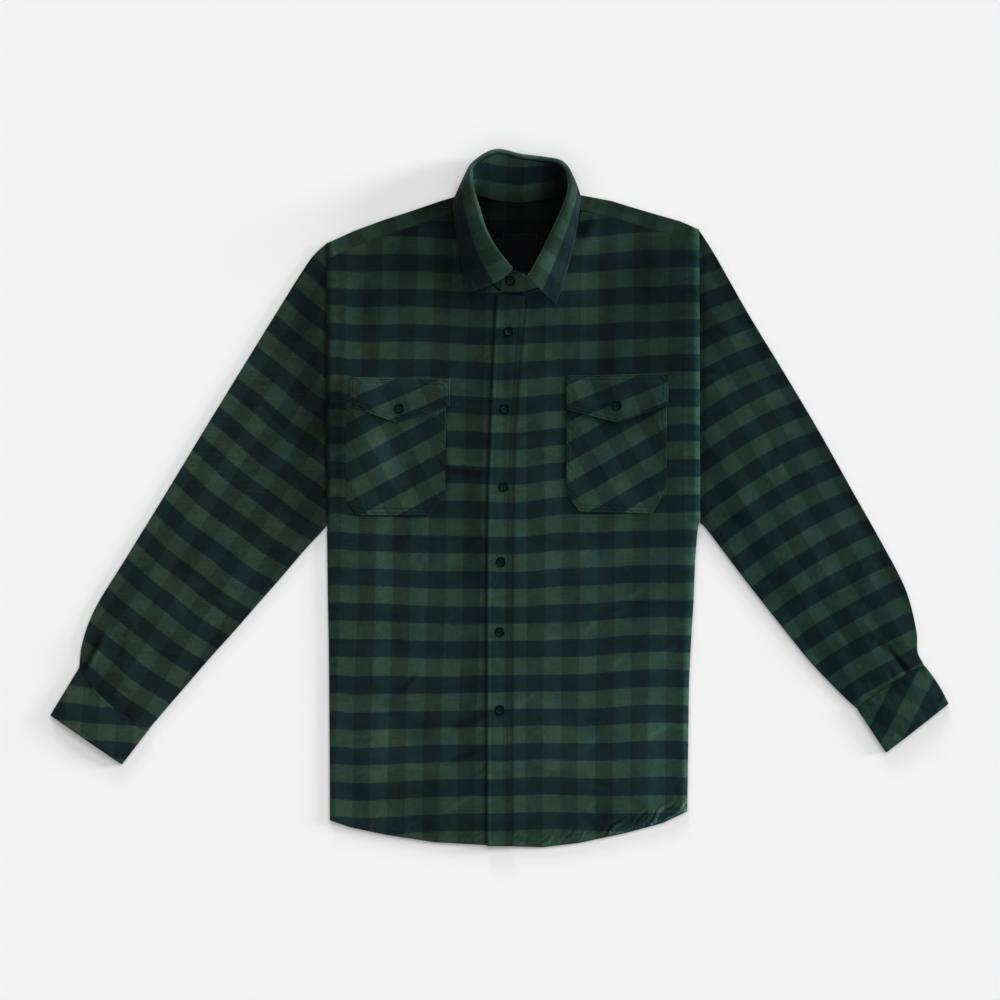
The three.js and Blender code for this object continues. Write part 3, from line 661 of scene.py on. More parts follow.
def thicken(mid, thickness, wraps=False, grooves=(), groove_depth=0.3, rounding=ROUNDING):
    """Outer and inner faces of a cloth wall, rounded off at its cut edges and drawn in at stitch lines."""
    to_end = distances(mid, across=False)
    border = to_end if wraps else np.minimum(distances(mid), to_end)
    rounding = min(rounding, thickness / 2)
    share = np.clip(border / rounding, 0, 1)
    half = thickness / 2 * (0.12 + 0.88 * np.sqrt(1 - (1 - share) ** 2))
    drawn = np.zeros(border.shape)
    for groove in grooves:
        drawn += groove_depth * np.exp(-(((border - groove) / 0.7) ** 2))
    out = normals_of(mid, wraps)
    outer = mid + out * (half - drawn)[..., None]
    inner = mid - out * half[..., None]
    return outer, inner


def painted_edge_highlight(grid, amount):
    """Lightens a piece along its cut edges: a painted highlight."""
    border = np.minimum(distances(grid), distances(grid, across=False))
    return np.exp(amount * np.exp(-((border / EDGE_HIGHLIGHT_WIDTH) ** 2)))


def wall_object(name, outer, inner, uv, wraps=False, painted_light=None):
    """One closed mesh from two like grids in millimetres, with the cloth's own coordinates in metres."""
    rows, columns = outer.shape[:2]
    i = np.arange(columns if wraps else columns - 1)
    j = np.arange(rows - 1)
    jj, ii = np.meshgrid(j, i, indexing="ij")
    nxt = (ii + 1) % columns
    a, b = jj * columns + ii, jj * columns + nxt
    c, d = (jj + 1) * columns + nxt, (jj + 1) * columns + ii
    n = rows * columns
    quads = [np.stack([a, b, c, d], -1).reshape(-1, 4)]
    quads.append(np.stack([a, d, c, b], -1).reshape(-1, 4) + n)
    low, low_next = i, (i + 1) % columns
    high, high_next = low + (rows - 1) * columns, low_next + (rows - 1) * columns
    quads.append(np.stack([low, low + n, low_next + n, low_next], -1))
    quads.append(np.stack([high, high_next, high_next + n, high + n], -1))
    if not wraps:
        left, left_next = j * columns, (j + 1) * columns
        right, right_next = left + columns - 1, left_next + columns - 1
        quads.append(np.stack([left, left_next, left_next + n, left + n], -1))
        quads.append(np.stack([right, right + n, right_next + n, right_next], -1))
    faces = np.concatenate(quads)
    points = np.concatenate([outer.reshape(-1, 3), inner.reshape(-1, 3)]) * MM
    p, q, r, s = (points[faces[:, k]] for k in range(4))
    volume = np.einsum("ij,ij->i", p, np.cross(q, r) + np.cross(r, s)).sum()
    if volume < 0:
        faces = faces[:, ::-1]
    mesh = bpy.data.meshes.new(name)
    mesh.vertices.add(len(points))
    mesh.vertices.foreach_set("co", points.astype(np.float32).ravel())
    mesh.loops.add(faces.size)
    mesh.loops.foreach_set("vertex_index", faces.astype(np.int32).ravel())
    mesh.polygons.add(len(faces))
    mesh.polygons.foreach_set("loop_start", (np.arange(len(faces)) * 4).astype(np.int32))
    mesh.update(calc_edges=True)
    mesh.polygons.foreach_set("use_smooth", np.ones(len(faces), bool))
    layer = mesh.uv_layers.new(name="cloth")
    spread = np.concatenate([uv.reshape(-1, 2), uv.reshape(-1, 2)])
    layer.data.foreach_set("uv", spread[faces.ravel()].astype(np.float32).ravel())
    # Each point keeps a shade value, painted shadows and highlights that scale the cloth's colour.
    levels = shade_at(points[:, 0] / MM, points[:, 1] / MM)
    if painted_light is not None:
        levels = levels * np.concatenate([painted_light.ravel(), painted_light.ravel()])
    shade = mesh.attributes.new("shade", "FLOAT", "POINT")
    shade.data.foreach_set("value", levels.astype(np.float32))
    mesh.validate()
    piece = bpy.data.objects.new(name + "_cloth", mesh)
    bpy.context.scene.collection.objects.link(piece)
    return piece


SEAMS = {}


def keep_lines(name, outer, insets, sides):
    """Keeps the grid lines that lie at an inset from a border, for the sewing."""
    rows, columns = outer.shape[:2]
    middle_row, middle_column = outer[rows // 2], outer[:, columns // 2]
    run_u = np.concatenate([[0], np.cumsum(np.linalg.norm(np.diff(middle_row, axis=0), axis=1))])
    run_v = np.concatenate([[0], np.cumsum(np.linalg.norm(np.diff(middle_column, axis=0), axis=1))])
    lines = SEAMS.setdefault(name, [])
    for inset in insets:
        first = int(np.argmin(abs(run_u - inset)))
        last = int(np.argmin(abs(run_u - (run_u[-1] - inset))))
        low = int(np.argmin(abs(run_v - inset)))
        high = int(np.argmin(abs(run_v - (run_v[-1] - inset))))
        if "l" in sides:
            lines.append(outer[low : high + 1, first])
        if "r" in sides:
            lines.append(outer[low : high + 1, last])
        if "b" in sides:
            lines.append(outer[low, first : last + 1])
        if "t" in sides:
            lines.append(outer[high, first : last + 1])


def finish_cloth(piece, nodes):
    if not piece.data.materials:
        piece.data.materials.append(flannel_material())
    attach(piece, "root")
    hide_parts(*nodes)


def panel_grid(u, v, outline, under, thickness=CLOTH):
    """Middle surface of a panel whose height over the table is a function of its place."""
    uu, vv = np.meshgrid(u, v)
    x, y = outline(uu, vv)
    return np.stack([x, y, under(x, y) + thickness / 2], -1)


def check_uv(x, y, angle=0.0, warp_at=0.0, weft_at=0.0, shear=0.0, skew=0.0):
    """The cloth's own coordinates in metres: first across the warp, then along it."""
    turn, weft_turn = math.radians(angle), math.radians(angle + skew)
    across = x * math.cos(turn) + y * math.sin(turn) - shear * y - warp_at
    up = -x * math.sin(weft_turn) + y * math.cos(weft_turn) - weft_at
    return np.stack([across * MM, up * MM], -1)


WEFT_AT = -60.4
WARP_RIGHT_FRONT = -141.2
WARP_LEFT_FRONT = 51.8


PULLS = table(
    "x y wide high up",
    (68, -15, 34, 150, 4.8),
    (-188, 0, 14, 700, 2.8),
    (180, 230, 24, 60, -3),
    (5, -290, 30, 60, -1.4),
)


def body_uv(x, y, warp_at, shear):
    """The body's check, with the weft bent where the cloth sags or was pulled up or down."""
    near_placket = np.exp(-(((x - 10) / 110) ** 2))
    sag = mix(-3.5, 2.2, smooth((y + 330) / 220)) * near_placket
    sag = sag - 5.5 * smooth((x - 60) / 150) * smooth((y + 380) / 200)
    sag = sag + 4.5 * smooth((-x - 10) / 120) * smooth((-y - 120) / 140)
    for at_x, at_y, wide, high, up in zip(*PULLS.values()):
        sag = sag - up * np.exp(-(((x - at_x) / wide) ** 2) - ((y - at_y) / high) ** 2)
    wave = 0.9 * np.sin(x / 47 + 1.3) + 0.8 * np.sin(x / 23 + y / 90)
    uv = check_uv(x + 0.8 * np.sin(y / 61), y + sag + wave, 0, warp_at, WEFT_AT, shear)
    return uv


class ClothSettings(bpy.types.PropertyGroup):
    repeat: FloatProperty(
        name="Check repeat",
        description="One dark and one light square together",
        default=0.0402,
        subtype="DISTANCE",
        unit="LENGTH",
    )
    green: FloatVectorProperty(
        name="Green yarn",
        description="Colour of the lighter yarn",
        subtype="COLOR",
        size=3,
        default=(0.0217, 0.0474, 0.0341),
    )
    navy: FloatVectorProperty(
        name="Navy yarn",
        description="Colour of the darker yarn",
        subtype="COLOR",
        size=3,
        default=(0.0070, 0.0183, 0.0202),
    )
    cross: FloatProperty(
        name="Cross yarn darkening",
        description="How much of a band's brightness is left where it crosses a dark warp stripe",
        subtype="FACTOR",
        default=0.69,
        min=0,
        max=1,
    )
    # Painted shadow inside the collar: the share of the flannel's brightness the yoke keeps there.
    inside: FloatProperty(
        name="Brightness inside the neck",
        description="Brightness kept by the yoke's cloth inside the collar",
        subtype="FACTOR",
        default=0.12,
        min=0,
        max=1,
    )
    step: FloatProperty(
        name="Mesh step",
        description="Distance between the cloth's mesh lines",
        default=0.003,
        subtype="DISTANCE",
        unit="LENGTH",
    )


class SewingSettings(bpy.types.PropertyGroup):
    pitch: FloatProperty(
        name="Stitch pitch",
        description="From one stitch to the next",
        default=0.0028,
        subtype="DISTANCE",
        unit="LENGTH",
    )
    thread: FloatProperty(
        name="Thread width",
        description="Width of a stitch",
        default=0.00042,
        subtype="DISTANCE",
        unit="LENGTH",
    )
    colour: FloatVectorProperty(
        name="Thread colour",
        description="Colour of the sewing thread",
        subtype="COLOR",
        size=3,
        default=(0.010, 0.020, 0.018),
    )


class ButtonSettings(bpy.types.PropertyGroup):
    diameter: FloatProperty(
        name="Diameter",
        description="Across the button, 18 line",
        default=0.0115,
        subtype="DISTANCE",
        unit="LENGTH",
    )
    height: FloatProperty(
        name="Height",
        description="Thickness at the rim",
        default=0.0024,
        subtype="DISTANCE",
        unit="LENGTH",
    )
    colour: FloatVectorProperty(
        name="Resin colour",
        description="Colour of the button",
        subtype="COLOR",
        size=3,
        default=(0.0018, 0.0056, 0.0047),
    )
    shine: FloatVectorProperty(
        name="Shine",
        description="Colour of the light the resin throws back",
        subtype="COLOR",
        size=3,
        default=(0.3, 1.0, 0.85),
    )
    segments: IntProperty(
        name="Segments", description="Steps round the rim", default=48, min=12, max=96
    )


class StudioSettings(bpy.types.PropertyGroup):
    floor: FloatVectorProperty(
        name="Floor colour",
        description="Colour of the pale floor",
        subtype="COLOR",
        size=3,
        default=(0.86, 0.86, 0.865),
    )
    camera_height: FloatProperty(
        name="Camera height",
        description="Height of the camera over the floor",
        default=3.2,
        subtype="DISTANCE",
        unit="LENGTH",
    )
    view_width: FloatProperty(
        name="Width in view",
        description="Width of floor that the picture takes in",
        default=1.15,
        subtype="DISTANCE",
        unit="LENGTH",
    )
    sky: FloatProperty(name="Sky strength", description="Even light from all round", default=0.57)
    key: FloatProperty(name="Key strength", description="Strength of the soft main light", default=0.9)
    graze: FloatProperty(
        name="Grazing strength", description="Strength of the low light that draws the folds", default=4.6
    )


def cloth_settings():
    return bpy.context.scene.shirt_cloth


def new_material(name):
    made = bpy.data.materials.new(name)
    made.use_nodes = True
    made.node_tree.nodes.clear()
    return made, made.node_tree


def node(tree, kind, settings=None, **inputs):
    made = tree.nodes.new(kind)
    for key, value in (settings or {}).items():
        setattr(made, key, value)
    for key, value in inputs.items():
        socket = made.inputs[int(key[1:])] if key[1:].isdigit() else made.inputs[key.replace("_", " ")]
        if isinstance(value, bpy.types.NodeSocket):
            tree.links.new(value, socket)
        else:
            socket.default_value = value
    return made


def maths(tree, operation, a, b=0.0, c=0.0):
    return node(tree, "ShaderNodeMath", {"operation": operation}, i0=a, i1=b, i2=c).outputs[0]


def soft_band(tree, coordinate, repeat, edge):
    """1 in the first half of each repeat and 0 in the second, with soft edges."""
    turn = maths(tree, "DIVIDE", coordinate, repeat)
    share = maths(tree, "FRACT", turn)
    off_middle = maths(tree, "ABSOLUTE", maths(tree, "SUBTRACT", share, 0.5))
    signed = maths(tree, "SUBTRACT", 0.5, share)
    side = maths(tree, "SIGN", signed)
    off_edge = maths(tree, "ABSOLUTE", maths(tree, "SUBTRACT", off_middle, 0.25))
    wrapped = maths(tree, "SUBTRACT", 0.25, off_edge)
    smooth_side = maths(tree, "MULTIPLY", side, wrapped)
    ramp = node(
        tree,
        "ShaderNodeMapRange",
        {"interpolation_type": "SMOOTHSTEP"},
        i0=smooth_side,
        i1=-edge,
        i2=edge,
        i3=0.0,
        i4=1.0,
    )
    return ramp.outputs[0]


def mixed(tree, factor, a, b, blend="MIX"):
    made = node(tree, "ShaderNodeMix", {"data_type": "RGBA", "blend_type": blend})
    for index, value in ((0, factor), (6, a), (7, b)):
        if isinstance(value, bpy.types.NodeSocket):
            tree.links.new(value, made.inputs[index])
        elif index == 0:
            made.inputs[0].default_value = value
        else:
            made.inputs[index].default_value = (*value, 1.0)
    return made.outputs[2]


def flannel_material(name="flannel_check", brightness=1.0):
    """Brushed flannel: a square check woven from two yarns, soft at its edges, with a short nap."""
    found = bpy.data.materials.get(name)
    if found:
        return found
    look = cloth_settings()
    made, tree = new_material(name)
    place = node(tree, "ShaderNodeUVMap", {"uv_map": "cloth"}).outputs[0]
    fuzz = node(tree, "ShaderNodeTexNoise", None, Vector=place, Scale=520.0, Detail=3.0, Roughness=0.7)
    centred = node(
        tree, "ShaderNodeVectorMath", {"operation": "SUBTRACT"}, i0=fuzz.outputs[1], i1=(0.5, 0.5, 0.5)
    )
    pushed = node(
        tree,
        "ShaderNodeVectorMath",
        {"operation": "MULTIPLY_ADD"},
        i0=centred.outputs[0],
        i1=(0.0032, 0.0032, 0.0),
        i2=place,
    )
    parts = node(tree, "ShaderNodeSeparateXYZ", None, i0=pushed.outputs[0])
    plain = node(tree, "ShaderNodeSeparateXYZ", None, i0=place)
    light_warp = soft_band(tree, parts.outputs[0], look.repeat, 0.02)
    dark_weft = soft_band(tree, parts.outputs[1], look.repeat, 0.02)
    green = tuple(c * brightness for c in look.green)
    navy = tuple(c * brightness for c in look.navy)
    band = mixed(tree, dark_weft, green, navy)
    crossed = mixed(tree, light_warp, (look.cross,) * 3, (1.0, 1.0, 1.0))
    check = mixed(tree, 1.0, band, crossed, "MULTIPLY")
    twill_run = maths(tree, "ADD", plain.outputs[0], plain.outputs[1])
    twill = maths(tree, "SINE", maths(tree, "MULTIPLY", twill_run, 2 * math.pi / 0.0011))
    slub_place = node(tree, "ShaderNodeMapping", None, Vector=place, Scale=(60.0, 900.0, 1.0))
    slub = node(tree, "ShaderNodeTexNoise", None, Vector=slub_place.outputs[0], Scale=1.0, Detail=3.0)
    mottle = node(tree, "ShaderNodeTexNoise", None, Vector=place, Scale=150.0, Detail=4.0, Roughness=0.65)
    wash = node(tree, "ShaderNodeTexNoise", None, Vector=place, Scale=19.0, Detail=2.5)
    shade = maths(tree, "MULTIPLY_ADD", twill, 0.07, 0.12)
    shade = maths(tree, "MULTIPLY_ADD", slub.outputs[0], 0.46, shade)
    shade = maths(tree, "MULTIPLY_ADD", mottle.outputs[0], 0.60, shade)
    shade = maths(tree, "MULTIPLY_ADD", wash.outputs[0], 0.70, shade)
    grey = node(tree, "ShaderNodeCombineColor", None, i0=shade, i1=shade, i2=shade)
    shaded = mixed(tree, 1.0, check, grey.outputs[0], "MULTIPLY")
    # Painted light: a slow tint across the shirt, warmer towards -x and cooler towards +x.
    object_place = node(tree, "ShaderNodeTexCoord").outputs["Object"]
    object_x = node(tree, "ShaderNodeSeparateXYZ", None, i0=object_place).outputs[0]
    painted_light = node(tree, "ShaderNodeMapRange", None, i0=object_x, i1=-0.35, i2=0.35, i3=0.0, i4=1.0)
    painted_light_tint = mixed(tree, painted_light.outputs[0], (1.16, 1.0, 0.97), (0.84, 1.0, 1.02))
    painted_light_tinted = mixed(tree, 1.0, shaded, painted_light_tint, "MULTIPLY")
    dye = node(tree, "ShaderNodeTexNoise", None, Vector=place, Scale=24.0, Detail=2.0)
    dye_side = node(tree, "ShaderNodeMapRange", None, i0=dye.outputs[0], i1=0.35, i2=0.65, i3=0.0, i4=1.0)
    dyed = mixed(tree, dye_side.outputs[0], (1.10, 1.0, 0.90), (0.88, 1.0, 1.10))
    tinted = mixed(tree, 1.0, painted_light_tinted, dyed, "MULTIPLY")
    # The painted shadows and highlights stored on the mesh scale the colour.
    painted_shade_fac = node(tree, "ShaderNodeAttribute", {"attribute_name": "shade"}).outputs["Fac"]
    painted_shade_grey = node(tree, "ShaderNodeCombineColor", None, i0=painted_shade_fac, i1=painted_shade_fac, i2=painted_shade_fac)
    coloured = mixed(tree, 1.0, tinted, painted_shade_grey.outputs[0], "MULTIPLY")
    hair = node(tree, "ShaderNodeTexNoise", None, Vector=place, Scale=1400.0, Detail=2.0)
    relief = maths(tree, "MULTIPLY_ADD", twill, 0.35, hair.outputs[0])
    relief = maths(tree, "MULTIPLY_ADD", mottle.outputs[0], 1.6, relief)
    turned = node(tree, "ShaderNodeMapping", None, Vector=place, Rotation=(0, 0, -0.62))
    streak_place = node(
        tree, "ShaderNodeMapping", None, Vector=turned.outputs[0], Scale=(28.0, 130.0, 1.0)
    )
    streak = node(tree, "ShaderNodeTexNoise", None, Vector=streak_place.outputs[0], Scale=1.0, Detail=3.0)
    where = node(tree, "ShaderNodeTexNoise", None, Vector=place, Scale=13.0, Detail=1.0)
    patchy = node(tree, "ShaderNodeMapRange", None, i0=where.outputs[0], i1=0.42, i2=0.62, i3=0.1, i4=1.0)
    streak_height = maths(tree, "MULTIPLY", streak.outputs[0], patchy.outputs[0])
    crease_place = node(
        tree, "ShaderNodeMapping", None, Vector=turned.outputs[0], Scale=(9.0, 60.0, 1.0)
    )
    crease = node(tree, "ShaderNodeTexNoise", None, Vector=crease_place.outputs[0], Scale=1.0, Detail=0.0)
    beside = maths(tree, "ABSOLUTE", maths(tree, "SUBTRACT", crease.outputs[0], 0.5))
    thin = node(tree, "ShaderNodeMapRange", None, i0=beside, i1=0.0, i2=0.02, i3=1.0, i4=0.0)
    area = node(tree, "ShaderNodeTexNoise", None, Vector=place, Scale=31.0, Detail=1.0)
    kept = node(tree, "ShaderNodeMapRange", None, i0=area.outputs[0], i1=0.54, i2=0.66, i3=0.0, i4=1.0)
    hairline = maths(tree, "MULTIPLY", thin.outputs[0], kept.outputs[0])
    # Fine creases are also drawn 16 % lighter in the colour, a painted highlight along them.
    painted_gleam = maths(tree, "MULTIPLY_ADD", hairline, 0.16, 1.0)
    painted_gleam_grey = node(tree, "ShaderNodeCombineColor", None, i0=painted_gleam, i1=painted_gleam, i2=painted_gleam)
    coloured = mixed(tree, 1.0, coloured, painted_gleam_grey.outputs[0], "MULTIPLY")
    streak_height = maths(tree, "MULTIPLY_ADD", hairline, 0.15, streak_height)
    soft = node(tree, "ShaderNodeBump", None, Strength=0.6, Distance=0.003, Height=streak_height)
    bump = node(
        tree, "ShaderNodeBump", None, Strength=0.5, Distance=0.0004, Height=relief, Normal=soft.outputs[0]
    )
    shader = node(
        tree,
        "ShaderNodeBsdfPrincipled",
        None,
        Base_Color=coloured,
        Roughness=0.95,
        Normal=bump.outputs[0],
        Sheen_Weight=0.07,
        Sheen_Roughness=0.45,
    )
    shader.inputs["Sheen Tint"].default_value = (0.62, 0.85, 0.76, 1.0)
    shader.inputs["Specular IOR Level"].default_value = 0.05
    out = node(tree, "ShaderNodeOutputMaterial", None, Surface=shader.outputs[0])
    out.is_active_output = True
    return made


def simple_material(name, colour, roughness, specular=0.5, grain=0.0, scale=900.0, shine=(1, 1, 1)):
    """A plain finish with a faint grain, for resin, satin and thread."""
    found = bpy.data.materials.get(name)
    if found:
        return found
    made, tree = new_material(name)
    place = node(tree, "ShaderNodeTexCoord").outputs["Object"]
    noise = node(tree, "ShaderNodeTexNoise", None, Vector=place, Scale=scale, Detail=2.0)
    dark = tuple(c * (1 - grain) for c in colour)
    bright = tuple(c * (1 + grain) for c in colour)
    base = mixed(tree, noise.outputs[0], dark, bright)
    bump = node(tree, "ShaderNodeBump", None, Strength=0.3, Distance=0.0001, Height=noise.outputs[0])
    shader = node(
        tree,
        "ShaderNodeBsdfPrincipled",
        None,
        Base_Color=base,
        Roughness=roughness,
        Normal=bump.outputs[0],
    )
    shader.inputs["Specular IOR Level"].default_value = specular
    shader.inputs["Specular Tint"].default_value = (*shine, 1.0)
    node(tree, "ShaderNodeOutputMaterial", None, Surface=shader.outputs[0])
    return made


class SHIRT_OT_back(bpy.types.Operator):
    """Make the lower back, which lies flat on the table"""

    bl_idname = "shirt.back"
    bl_label = "Back"

    def execute(self, context):
        inward = 0.5
        step = cloth_settings().step / MM * 2
        u = stations(412, step)
        v = stations(625, step)

        def outline(uu, vv):
            x = mix(side_x(0, "right") + inward, side_x(0, "left") - inward, uu)
            y = mix(read_off(HEM, "x", x, "y") + inward, YOKE_BOTTOM - SEAM_GAP, vv)
            return mix(side_x(y, "right") + inward, side_x(y, "left") - inward, uu), y

        mid = panel_grid(u, v, outline, floor_height)
        outer, inner = thicken(mid, CLOTH, rounding=SQUARE)
        uv = body_uv(mid[..., 0], mid[..., 1], -88.0, 0.0)
        piece = wall_object("back", outer, inner, uv)
        finish_cloth(piece, ["back"])
        return {"FINISHED"}


def shoulder_wrap(shoulder, neck_x, arm_x):
    """Middle surface of one side of the yoke: front strip, folded shoulder line, back layer."""
    fold = (CLOTH + GAP) / 2
    u = stations(abs(neck_x - arm_x), cloth_settings().step / MM)
    x = mix(arm_x, neck_x, u)
    line = np.interp(x, shoulder["x"], shoulder["y"]) - CLOTH / 2 - fold
    rows = []
    for d in stations(STRIP_WIDTH, 1.6)[:-1] * (STRIP_WIDTH - fold):
        y = line - (STRIP_WIDTH - fold) + d
        rows.append(np.stack([x, y, front_under(x, y) + CLOTH / 2], -1))
    for turn in np.linspace(0, math.pi, 9):
        z = CLOTH / 2 + fold * (1 + math.cos(turn)) + 0 * x
        rows.append(np.stack([x, line + fold * math.sin(turn), z], -1))
    bottom = YOKE_BOTTOM + 0 * x
    for d in stations(90, 5)[1:]:
        rows.append(np.stack([x, mix(line, bottom, d), CLOTH / 2 + 0 * x], -1))
    return np.array(rows)


class SHIRT_OT_yoke(bpy.types.Operator):
    """Make the yoke: two shoulders folded forward, and the middle of the back between them"""

    bl_idname = "shirt.yoke"
    bl_label = "Yoke"

    def execute(self, context):
        parts = []
        for shoulder, neck_x, arm_x, tilt, weft_at in (
            (SHOULDER_RIGHT, NECK_RIGHT["x"][0], side_x(ARM_Y, "right") - LAP, 20.5, 26),
            (SHOULDER_LEFT, NECK_LEFT["x"][-1], side_x(ARM_Y, "left") + LAP, -17.0, 4),
        ):
            mid = shoulder_wrap(shoulder, neck_x, arm_x)
            outer, inner = thicken(mid, CLOTH, rounding=SQUARE)
            x, y = mid[..., 0], mid[..., 1]
            uv = check_uv(x, y, tilt, 0, weft_at)
            parts.append((outer, inner, uv))
            SEAMS.setdefault("yoke", []).append(outer[4])
        around = np.linspace(7, 13, 60) / (len(COLLAR["seam_x"]) - 1)
        seam = collar_points(around)[0]
        neck = {"x": seam[:, 0], "y": seam[:, 1] + 0.45}
        u = stations(145, 3)
        v = stations(110, 3)

        def outline(uu, vv):
            x = mix(NECK_RIGHT["x"][0] - 2, NECK_LEFT["x"][-1] + 2, uu)
            shoulder = np.where(
                x < 25,
                np.interp(x, SHOULDER_RIGHT["x"], SHOULDER_RIGHT["y"]),
                np.interp(x, SHOULDER_LEFT["x"], SHOULDER_LEFT["y"]),
            )
            inside = (x > neck["x"][0]) & (x < neck["x"][-1])
            top = np.where(inside, np.interp(x, neck["x"], neck["y"]), shoulder - 3)
            return x, mix(YOKE_BOTTOM, top, vv)

        mid = panel_grid(u, v, outline, floor_height)
        outer, inner = thicken(mid, CLOTH, rounding=0.6)
        x, y = mid[..., 0], mid[..., 1]
        parts.append((outer, inner, check_uv(x, y, 0, -12, WEFT_AT)))
        made = [wall_object(f"yoke_part_{k}", *part) for k, part in enumerate(parts)]
        # The middle of the back inside the collar takes a darker copy of the flannel, a painted shadow.
        middle = made[-1].data
        middle.polygons.foreach_set("material_index", np.ones(len(middle.polygons), np.int32))
        piece = join_pieces("yoke", made)
        piece.data.materials.append(flannel_material())
        piece.data.materials.append(flannel_material("flannel_inside", cloth_settings().inside))
        finish_cloth(piece, ["yoke"])
        return {"FINISHED"}


def join_pieces(name, pieces):
    """Joins like pieces into one mesh that keeps their materials and coordinates."""
    mesh = bpy.data.meshes.new(name)
    builder = bmesh.new()
    for piece in pieces:
        builder.from_mesh(piece.data)
    builder.to_mesh(mesh)
    builder.free()
    for slot in pieces[0].data.materials:
        mesh.materials.append(slot)
    for piece in pieces:
        old = piece.data
        bpy.data.objects.remove(piece)
        bpy.data.meshes.remove(old)
    made = bpy.data.objects.new(name + "_cloth", mesh)
    bpy.context.scene.collection.objects.link(made)
    return made


def underlap_x(y):
    return read_off(PLACKET, "y", y, "sewn") - OVER_SEAM - GAP


def left_front_x(y):
    return read_off(PLACKET, "y", y, "sewn") - OVER_SEAM


class SHIRT_OT_fronts(bpy.types.Operator):
    """Make the two fronts over the back, with their folds"""

    bl_idname = "shirt.fronts"
    bl_label = "Fronts"

    def execute(self, context):
        self.front("front_right", SHOULDER_RIGHT, NECK_RIGHT, "right", underlap_x, WARP_RIGHT_FRONT, 0.0213)
        self.front("front_left", SHOULDER_LEFT, NECK_LEFT, "left", left_front_x, WARP_LEFT_FRONT, 0.0047)
        return {"FINISHED"}

    def front(self, name, shoulder, neck, side, inner_x, warp_at, shear):
        right = side == "right"
        neck_x = neck["x"][0] if right else neck["x"][-1]
        arm_x = side_x(ARM_Y, side)
        inner_top = inner_x(250)
        step = cloth_settings().step / MM * 0.8
        corner = (neck_x - arm_x) / (inner_top - arm_x)
        u = stations(221, step)
        u[np.argmin(abs(u - corner))] = corner
        v = stations(700, step, lines=(9,))

        def top_at(share):
            x = mix(arm_x, inner_top, share)
            by_shoulder = np.interp(x, shoulder["x"], shoulder["y"]) - STRIP_WIDTH - CLOTH / 2 - GAP
            by_neck = np.interp(x, neck["x"], neck["y"])
            return np.where(share <= corner + 1e-6, by_shoulder, by_neck)

        def outline(uu, vv):
            hem_x = mix(side_x(-380, side), inner_x(-380), uu)
            y = mix(read_off(HEM, "x", hem_x, "y"), top_at(uu), vv)
            outward = LAP * at_armhole(y) * (-1 if right else 1)
            return mix(side_x(y, side) + outward, inner_x(y), uu), y

        mid = panel_grid(u, v, outline, front_under)
        from_hem = mid[..., 1] - mid[:1, :, 1]
        x, y = mid[..., 0], mid[..., 1]
        gathered = 0.12 if right else 0.3 + 0.7 * smooth((x - 90) / 60)
        run = x - 0.85 * y + 3 * np.sin(x / 13) + 2 * np.sin(x / 5.3 + y / 9)
        patchy = 0.65 + 0.35 * np.sin(x / 9.1 + 1.2 * np.sin(x / 21))
        drawn = pucker(from_hem - 8, run, 8.2, gathered * patchy, 10, 3) * smooth(from_hem / 2.5)
        mid[..., 2] = np.maximum(mid[..., 2] + 1.4 * drawn, 1.5 * CLOTH + GAP)
        # Painted light at the hem: raised gathers lighter, hollows darker, lighter ticks by the fold.
        fringe = 0.7 * np.exp(-(((from_hem - 3) / 3) ** 2)) * gathered * (1 + np.sin(x / 0.75) * patchy)
        painted_light = np.exp(1.1 * drawn + fringe)
        mid[..., 2] += 0.25 * smooth((9 - from_hem) / 1.5) * smooth(from_hem / 2)
        outer, inner = thicken(mid, CLOTH)
        uv = body_uv(mid[..., 0], mid[..., 1], warp_at, shear)
        piece = wall_object(name, outer, inner, uv, painted_light=painted_light)
        keep_lines("hem", outer if outer[0, 0, 2] > inner[0, 0, 2] else inner, [9], "b")
        finish_cloth(piece, [name])


class SHIRT_OT_placket(bpy.types.Operator):
    """Make the placket on the left front's edge"""

    bl_idname = "shirt.placket"
    bl_label = "Placket"

    def execute(self, context):
        step = cloth_settings().step / MM
        u = stations(28, 2, lines=(5.5,))
        v = stations(634, step)

        def outline(uu, vv):
            y = mix(-398.4, 233 + 3 * (1 - uu), vv)
            free, sewn = read_off(PLACKET, "y", y, "free"), read_off(PLACKET, "y", y, "sewn")
            return mix(free, sewn, uu), y

        def under(x, y):
            run = 0.22 * np.sin(y / 2.6 + np.sin(y / 17)) + 0.2 * np.sin(y / 4.3)
            return front_over(x, y) + LAY_GAP + run * 0.5 + 0.1

        mid = panel_grid(u, v, outline, under, DOUBLED)
        outer, inner = thicken(mid, DOUBLED, grooves=(5.5,))
        uv = body_uv(mid[..., 0], mid[..., 1], -15.0, 0.0)
        piece = wall_object("placket", outer, inner, uv)
        upper = outer if outer[0, 0, 2] > inner[0, 0, 2] else inner
        keep_lines("placket", upper, [5.5], "lr")
        finish_cloth(
            piece,
            ["placket"],
        )
        return {"FINISHED"}


